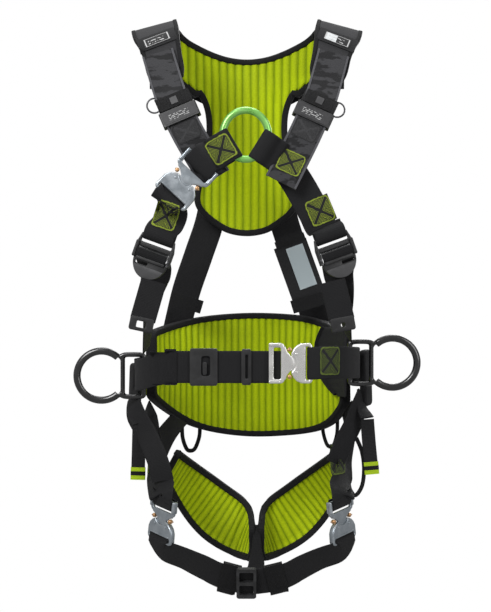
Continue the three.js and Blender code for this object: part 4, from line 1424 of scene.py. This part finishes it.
def bartacks():
    web = "chest_strap_right_web"
    patch_on("bartack_chest_right", [web], (-36, -130, -200), (-0.515, 0, 0.857), (0, -1, 0), 36, 36, BARTACK)
    patch_on("bartack_front_right", ["front_strap_right_web"], (-113, -120, -291), (1, 0, -0.33), (0, -1, 0), 34, 38,
             BARTACK)
    patch_on("bartack_shoulder_left", ["shoulder_strap_left_web"], (61, -120, -217), (1, 0, -0.45), (0, -1, 0), 36, 32,
             BARTACK)
    patch_on("bartack_chest_left", ["chest_strap_left_web"], (103, -110, -283), (1, 0, 0.42), (0, -1, 0), 36, 38,
             BARTACK)
    patch_on("bartack_belt", ["belt_left_web"], (118, -130, -493), (1, 0.3, 0), (0.3, -1, 0), 30, 40, DIM_BARTACK)
    for side, sign in SIDES:
        patch_on(f"bartack_hip_{side}", [f"hip_strap_{side}_web"], (sign * 133, -40, -640), (1, 0, 0), (0, -1, 0),
                 22, 40, DIM_BARTACK)


def tails():
    for side, sign in SIDES:
        node = f"strap_tail_{side}"
        cad = ordered(cad_stations(node), (sign * 125, -110, -382))
        web = webbing(f"{node}_web", [cad[0], [cad[0][0].lerp(cad[-1][0], 0.5), cad[0][1]],
                                      [cad[0][0].lerp(cad[-1][0], 0.78), cad[-1][1]]], width=36 * MM, wave=0)
        finish(web, BLACK_WEB, node, [node])
        end = cad[-1][0]
        down = (cad[-1][0] - cad[0][0]).normalized()
        place = axes(end - down * 9 * MM, cad[-1][1], -down)
        hole = rounded(-6, -4, 7, 5, 1.5) if sign < 0 else rounded(-3, -3, 3, 3, 2.9)
        plate = pressed(f"{node}_plate", rounded(-17, -9, 17, 11, 3.5), [hole], thick=4, round_edge=1.3, place=place)
        finish(plate, PLASTIC, node)
        node = f"pull_tail_{side}"
        cad = ordered(cad_stations(node), (sign * 165, -30, -585))
        web = webbing(f"{node}_web", cad, width=20 * MM, wave=0.0003)
        finish(web, BLACK_WEB, node, [node])
        strap_piece(f"pull_strap_{side}", [
            [at_mm(sign * 168, 10, -545), Vector((0.35, 0.9 * sign, 0))],
            [at_mm(sign * 170, -6, -566), Vector((0.6, 0.7 * sign, 0))],
            [cad[0][0] + Vector((0, 0.001, 0.002)), cad[0][1]]], width=20 * MM, wave=0)
        foot = cad[-1][0]
        down = (foot - cad[0][0]).normalized()
        wrap_end = webbing(f"{node}_tab", [[foot - down * 17 * MM, cad[-1][1]], [foot - down * 8 * MM, cad[-1][1]],
                                           [foot + down * 1 * MM, cad[-1][1]]], width=21.5 * MM, thick=5 * MM, wave=0)
        finish(wrap_end, TAB_WEB, node)
        band = webbing(f"{node}_tab_band", [[foot - down * 11.5 * MM, cad[-1][1]], [foot - down * 8.5 * MM, cad[-1][1]],
                                            [foot - down * 5.5 * MM, cad[-1][1]]], width=21.7 * MM, thick=5.6 * MM,
                       wave=0)
        finish(band, ELASTIC, node)


shoulder_pads()
keepers()
bartacks()
tails()



# ---- Belt fittings, sleeves, pouch and side pieces -------------------------------------------

FRONT = Matrix(((1, 0, 0, 0), (0, 0, -1, 0), (0, 1, 0, 0), (0, 0, 0, 1)))


def facing(x, y, z, lean=0.0, yaw=0.0):
    """A place looking out to the front, in millimetres; lean rolls it and yaw turns it, in degrees."""
    return Matrix.Translation(at_mm(x, y, z)) @ Matrix.Rotation(math.radians(yaw), 4, "Z") @ FRONT \
        @ Matrix.Rotation(math.radians(lean), 4, "Z")


def belt_fitting(node, half_width, half_height, window, rib):
    """A plastic loop the belt runs through, with a raised face."""
    middle = centre(node) / MM
    place = facing(middle.x, middle.y, middle.z)
    depth = 3.2
    face = pressed(f"{node}_face", rounded(-half_width, -half_height, half_width, half_height, 4.5), [window],
                   thick=2.4, round_edge=0.9, place=moved(place, depth))
    back = pressed(f"{node}_rear", rounded(-half_width, -half_height, half_width, half_height, 4.5), thick=2.0,
                   round_edge=0.8, place=moved(place, -depth))
    walls = [pressed(f"{node}_wall", rounded(-half_width + 1, min(y, y + 3.4), half_width - 1, max(y, y + 3.4), 1.4),
                     thick=7.6, round_edge=1.0, place=place) for y in (-half_height, half_height - 3.4)]
    ridge = pressed(f"{node}_ridge", rib, thick=1.6, round_edge=0.6, place=moved(place, depth + 1.4))
    finish(joined(f"{node}_loop", [face, back, ridge] + walls), PLASTIC, node, [node])


def waist_end_panel():
    """Quilted black panel sewn over the left end of the waist pad."""
    rows, cols = 26, 12
    left = smooth_path([Vector((x, 0, z)) for x, z in ((121, -449), (112, -470), (110, -492), (114, -515),
                                                       (126, -536), (142, -553))], 2.0)
    verts, uvs, faces = [], [], []
    for j in range(rows + 1):
        edge = left[round((len(left) - 1) * j / rows)]
        for i in range(cols + 1):
            x = edge.x + (151.5 - edge.x) * i / cols
            sine = min(0.985, (x - 3) / 151)
            turn = math.asin(sine)
            swell = 1.5 * math.sin(math.pi * i / cols) + 0.8 * abs(math.sin(j * 0.9))
            reach_a, reach_b = 151 - 3.5 - swell, 120 - 3.5 - swell
            verts.append(at_mm(3 + reach_a * math.sin(turn), -12 + reach_b * math.cos(turn), edge.z))
            uvs.append((i / cols, j / rows))
    wide = cols + 1
    for j in range(rows):
        for i in range(cols):
            a = j * wide + i
            faces.append((a, a + 1, a + wide + 1, a + wide))
    panel = mesh_piece("waist_end_panel", verts, faces, uvs=uvs)
    thick = panel.modifiers.new("thickness", "SOLIDIFY")
    thick.thickness = 2.2 * MM
    thick.offset = 0
    panel = evaluated(panel, "waist_end_panel")
    finish(panel, PAD_BACKING)
    for x_shift in (0.0,):
        line = [[at_mm(3 + 145.5 * math.sin(math.asin((p.x - 3) / 151)), -12 + 114.5 * math.cos(
            math.asin((p.x - 3) / 151)), p.z / 1.0), Vector((1, 0, 0))] for p in left[::4]]
        edge = webbing("waist_end_tape", line, width=7 * MM, thick=3.4 * MM, wave=0)
        finish(edge, BINDING)


def cushion_block(name, x, y, z, wide, high, deep, lean, yaw, material=None):
    block = pressed(name, rounded(-wide / 2, -high / 2, wide / 2, high / 2, min(wide, high) * 0.3, 8), thick=deep,
                    round_edge=min(deep, wide) * 0.3, place=facing(x, y, z, lean, yaw), steps=5)
    return finish(block, material or PAD_BACKING)


def gear_loops():
    for name, x, side, bottom in (("gear_loop_right", -85, -1, -641), ("gear_loop_left", 125, 1, -632)):
        turn = math.degrees(math.asin((x - 3) / 164))
        spots = []
        for offset, z in ((-5.5, bottom + 52), (-5.5, bottom + 34), (-5, bottom + 18), (-2.6, bottom + 1.5), (0, bottom - 2),
                          (2.6, bottom + 1.5), (5, bottom + 18), (5.5, bottom + 36), (5.5, bottom + 55)):
            t = math.radians(turn + side * offset)
            spots.append((3 + 169 * math.sin(t), -12 + 138 * math.cos(t), z))
        loop = bar(f"{name}_cord", spots, 3.3, (math.sin(math.radians(turn)), math.cos(math.radians(turn)), 0),
                   flat=0.7, corners=16)
        finish(loop, ELASTIC, ROOT, [name])


def hip_crossings():
    strap_piece("hip_cross_right", [
        [at_mm(-171, 2, -548), Vector((0.4, -0.9, 0.1))], [at_mm(-163, -22, -575), Vector((0.75, -0.6, 0.3))],
        [at_mm(-144, -42, -606), Vector((0.8, -0.5, 0.35))], [at_mm(-128, -56, -640), Vector((0.85, -0.45, 0.2))],
        [at_mm(-121, -58, -668), Vector((0.9, -0.4, 0))]], width=36 * MM)
    strap_piece("hip_tie_right", [
        [at_mm(-104, 62, -590), Vector((0.7, 0.6, 0.3))], [at_mm(-122, 30, -612), Vector((0.7, 0.6, 0.3))],
        [at_mm(-134, 2, -640), Vector((0.7, 0.6, 0.2))]], width=30 * MM)
    strap_piece("hip_cross_left", [
        [at_mm(170, 4, -548), Vector((-0.4, -0.9, 0.1))], [at_mm(160, -16, -580), Vector((-0.75, -0.6, 0.2))],
        [at_mm(143, -30, -612), Vector((-0.8, -0.5, 0.2))], [at_mm(128, -34, -646), Vector((-0.8, -0.5, 0.1))]],
        width=34 * MM)
    loop = bar("thigh_gear_loop", [(160, -20, -610), (168, -22, -630), (171, -24, -655), (168, -24, -680),
                                   (158, -24, -694), (150, -24, -684)], 3.0, (0, 1, 0), flat=0.6, corners=16)
    finish(loop, ELASTIC)


def label_pouch():
    """Flat pouch with a clear window on the left back strap."""
    base = ["back_strap_left_web"]
    patch_on("label_pouch", base, (80, 60, -362), (1, 0, 0.36), (0, -1, 0), 52, 86, PAD_BACKING, lift=3.0, thick=3.4)
    patch_on("label_pouch_window", ["label_pouch"], (83, 60, -357), (1, 0, 0.36), (0, -1, 0), 27, 66, WINDOW,
             lift=0.6, thick=0.6)
    patch_on("label_pouch_flap", base, (66, 60, -318), (1, 0, 0.36), (0, -1, 0), 47, 12, BINDING, lift=3.6, thick=3.8)


def sleeves():
    for side, sign in SIDES:
        web = [f"leg_front_strap_{side}_web"]
        x = 8 + sign * 33
        patch_on(f"leg_sleeve_{side}", web, (x, -92, -801), (-sign * 0.2, 0, 1), (0, -1, -0.45), 49, 26, ELASTIC, lift=1.6,
                 thick=5.0)
        patch_on(f"back_strap_keeper_{side}", [f"back_strap_{side}_web"], (sign * 92, 50, -412), (1, 0, sign * 0.3),
                 (0, -1, 0), 49, 20, ELASTIC, lift=1.2, thick=3.6)
    patch_on("belt_elastic_keeper", ["belt_right_web"], (-107, -115, -502), (1, 0, 0), (0, -1, 0), 16, 50, ELASTIC,
             lift=1.6, thick=4.8)
    patch_on("belt_tail", ["belt_right_web"], (-118, -112, -504), (1, 0, 0), (-0.3, -1, 0), 40, 45, BLACK_WEB, lift=1.8,
             thick=2.2)


def crotch_joint():
    """Dark sewn gusset where the two leg pads meet."""
    gusset = webbing("crotch_gusset", [
        [at_mm(14.5, 22, -745), Vector((1, 0, 0)), 0.32], [at_mm(14.5, 8, -775), Vector((1, 0, 0)), 0.5],
        [at_mm(14, -4, -797), Vector((1, 0, 0)), 0.85], [at_mm(12, -20, -812), Vector((1, 0, 0)), 1.25],
        [at_mm(8, -62, -815), Vector((1, 0, 0)), 1.3], [at_mm(4, -84, -806), Vector((1, 0, 0)), 1.2]],
        width=28 * MM, thick=4 * MM)
    finish(gusset, BINDING)


def dorsal_fittings():
    """The loop of webbing that holds the dorsal ring's foot, over the plate."""
    low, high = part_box("dorsal_ring")
    y, z = (low.y + high.y) / 2 / MM, low.z / MM + 4.5
    around = [[at_mm(0, y - 2.5 - 6.5 * math.cos(math.radians(t)), z + 6.5 * math.sin(math.radians(t))),
               Vector((1, 0, 0))] for t in (0, 45, 90, 135, 180)]
    route = [[at_mm(0, y - 9.6, z - 26), Vector((1, 0, 0))], [at_mm(0, y - 9.2, z - 10), Vector((1, 0, 0))]] \
        + [[p[0] + Vector((0, 2.5 * MM, 0)), p[1]] for p in around[1:4]] \
        + [[at_mm(0, y + 5.4, z - 8), Vector((1, 0, 0))], [at_mm(0, y - 3, z - 26), Vector((1, 0, 0))]]
    strap_piece("dorsal_loop", route, step=0.0025, width=42 * MM, wave=0)


belt_fitting("belt_slider", 19.5, 26, rounded(-3, -12, 9, 15, 3), rounded(-1.5, -11, 4.5, 7, 2))
belt_fitting("belt_keeper", 7, 25, rounded(-1.4, -16, 2.2, 17, 1.4), rounded(3.6, -17, 5, 17, 0.6))
waist_end_panel()
cushion_block("side_block_left", 177, 14, -524, 26, 84, 11, 4, 62)
cushion_block("side_block_right", -166, 8, -538, 24, 72, 14, -6, -66)
gear_loops()
hip_crossings()
label_pouch()
sleeves()
crotch_joint()
dorsal_fittings()


# == MORE ==

# ---- CAD parts that stay as they are ---------------------------------------------------------

BY_SLOT = {"silver": SILVER, "steel": STEEL, "copper": COPPER, "green_metal": GREEN, "black_metal": GLOSS_BLACK,
           "black_plastic": PLASTIC, "wire": WIRE, "lime_padding": LIME, "shoulder_fabric": SHOULDER_CLOTH,
           "black_webbing": PLASTIC}


def dress_cad():
    """Gives each CAD part its material and softens its edges."""
    slots = {part["node"]: part["material_slot"] for part in frame["record"]["subparts"]}
    for name, node in NODES.items():
        if node.type != "MESH" or node.hide_render:
            continue
        node.data.materials.clear()
        node.data.materials.append(BY_SLOT.get(slots.get(name), PLASTIC))
        soft = node.modifiers.new("soft_edges", "BEVEL")
        soft.width = 0.5 * MM
        soft.segments = 2
        soft.limit_method = "ANGLE"
        soft.angle_limit = math.radians(32)


dress_cad()
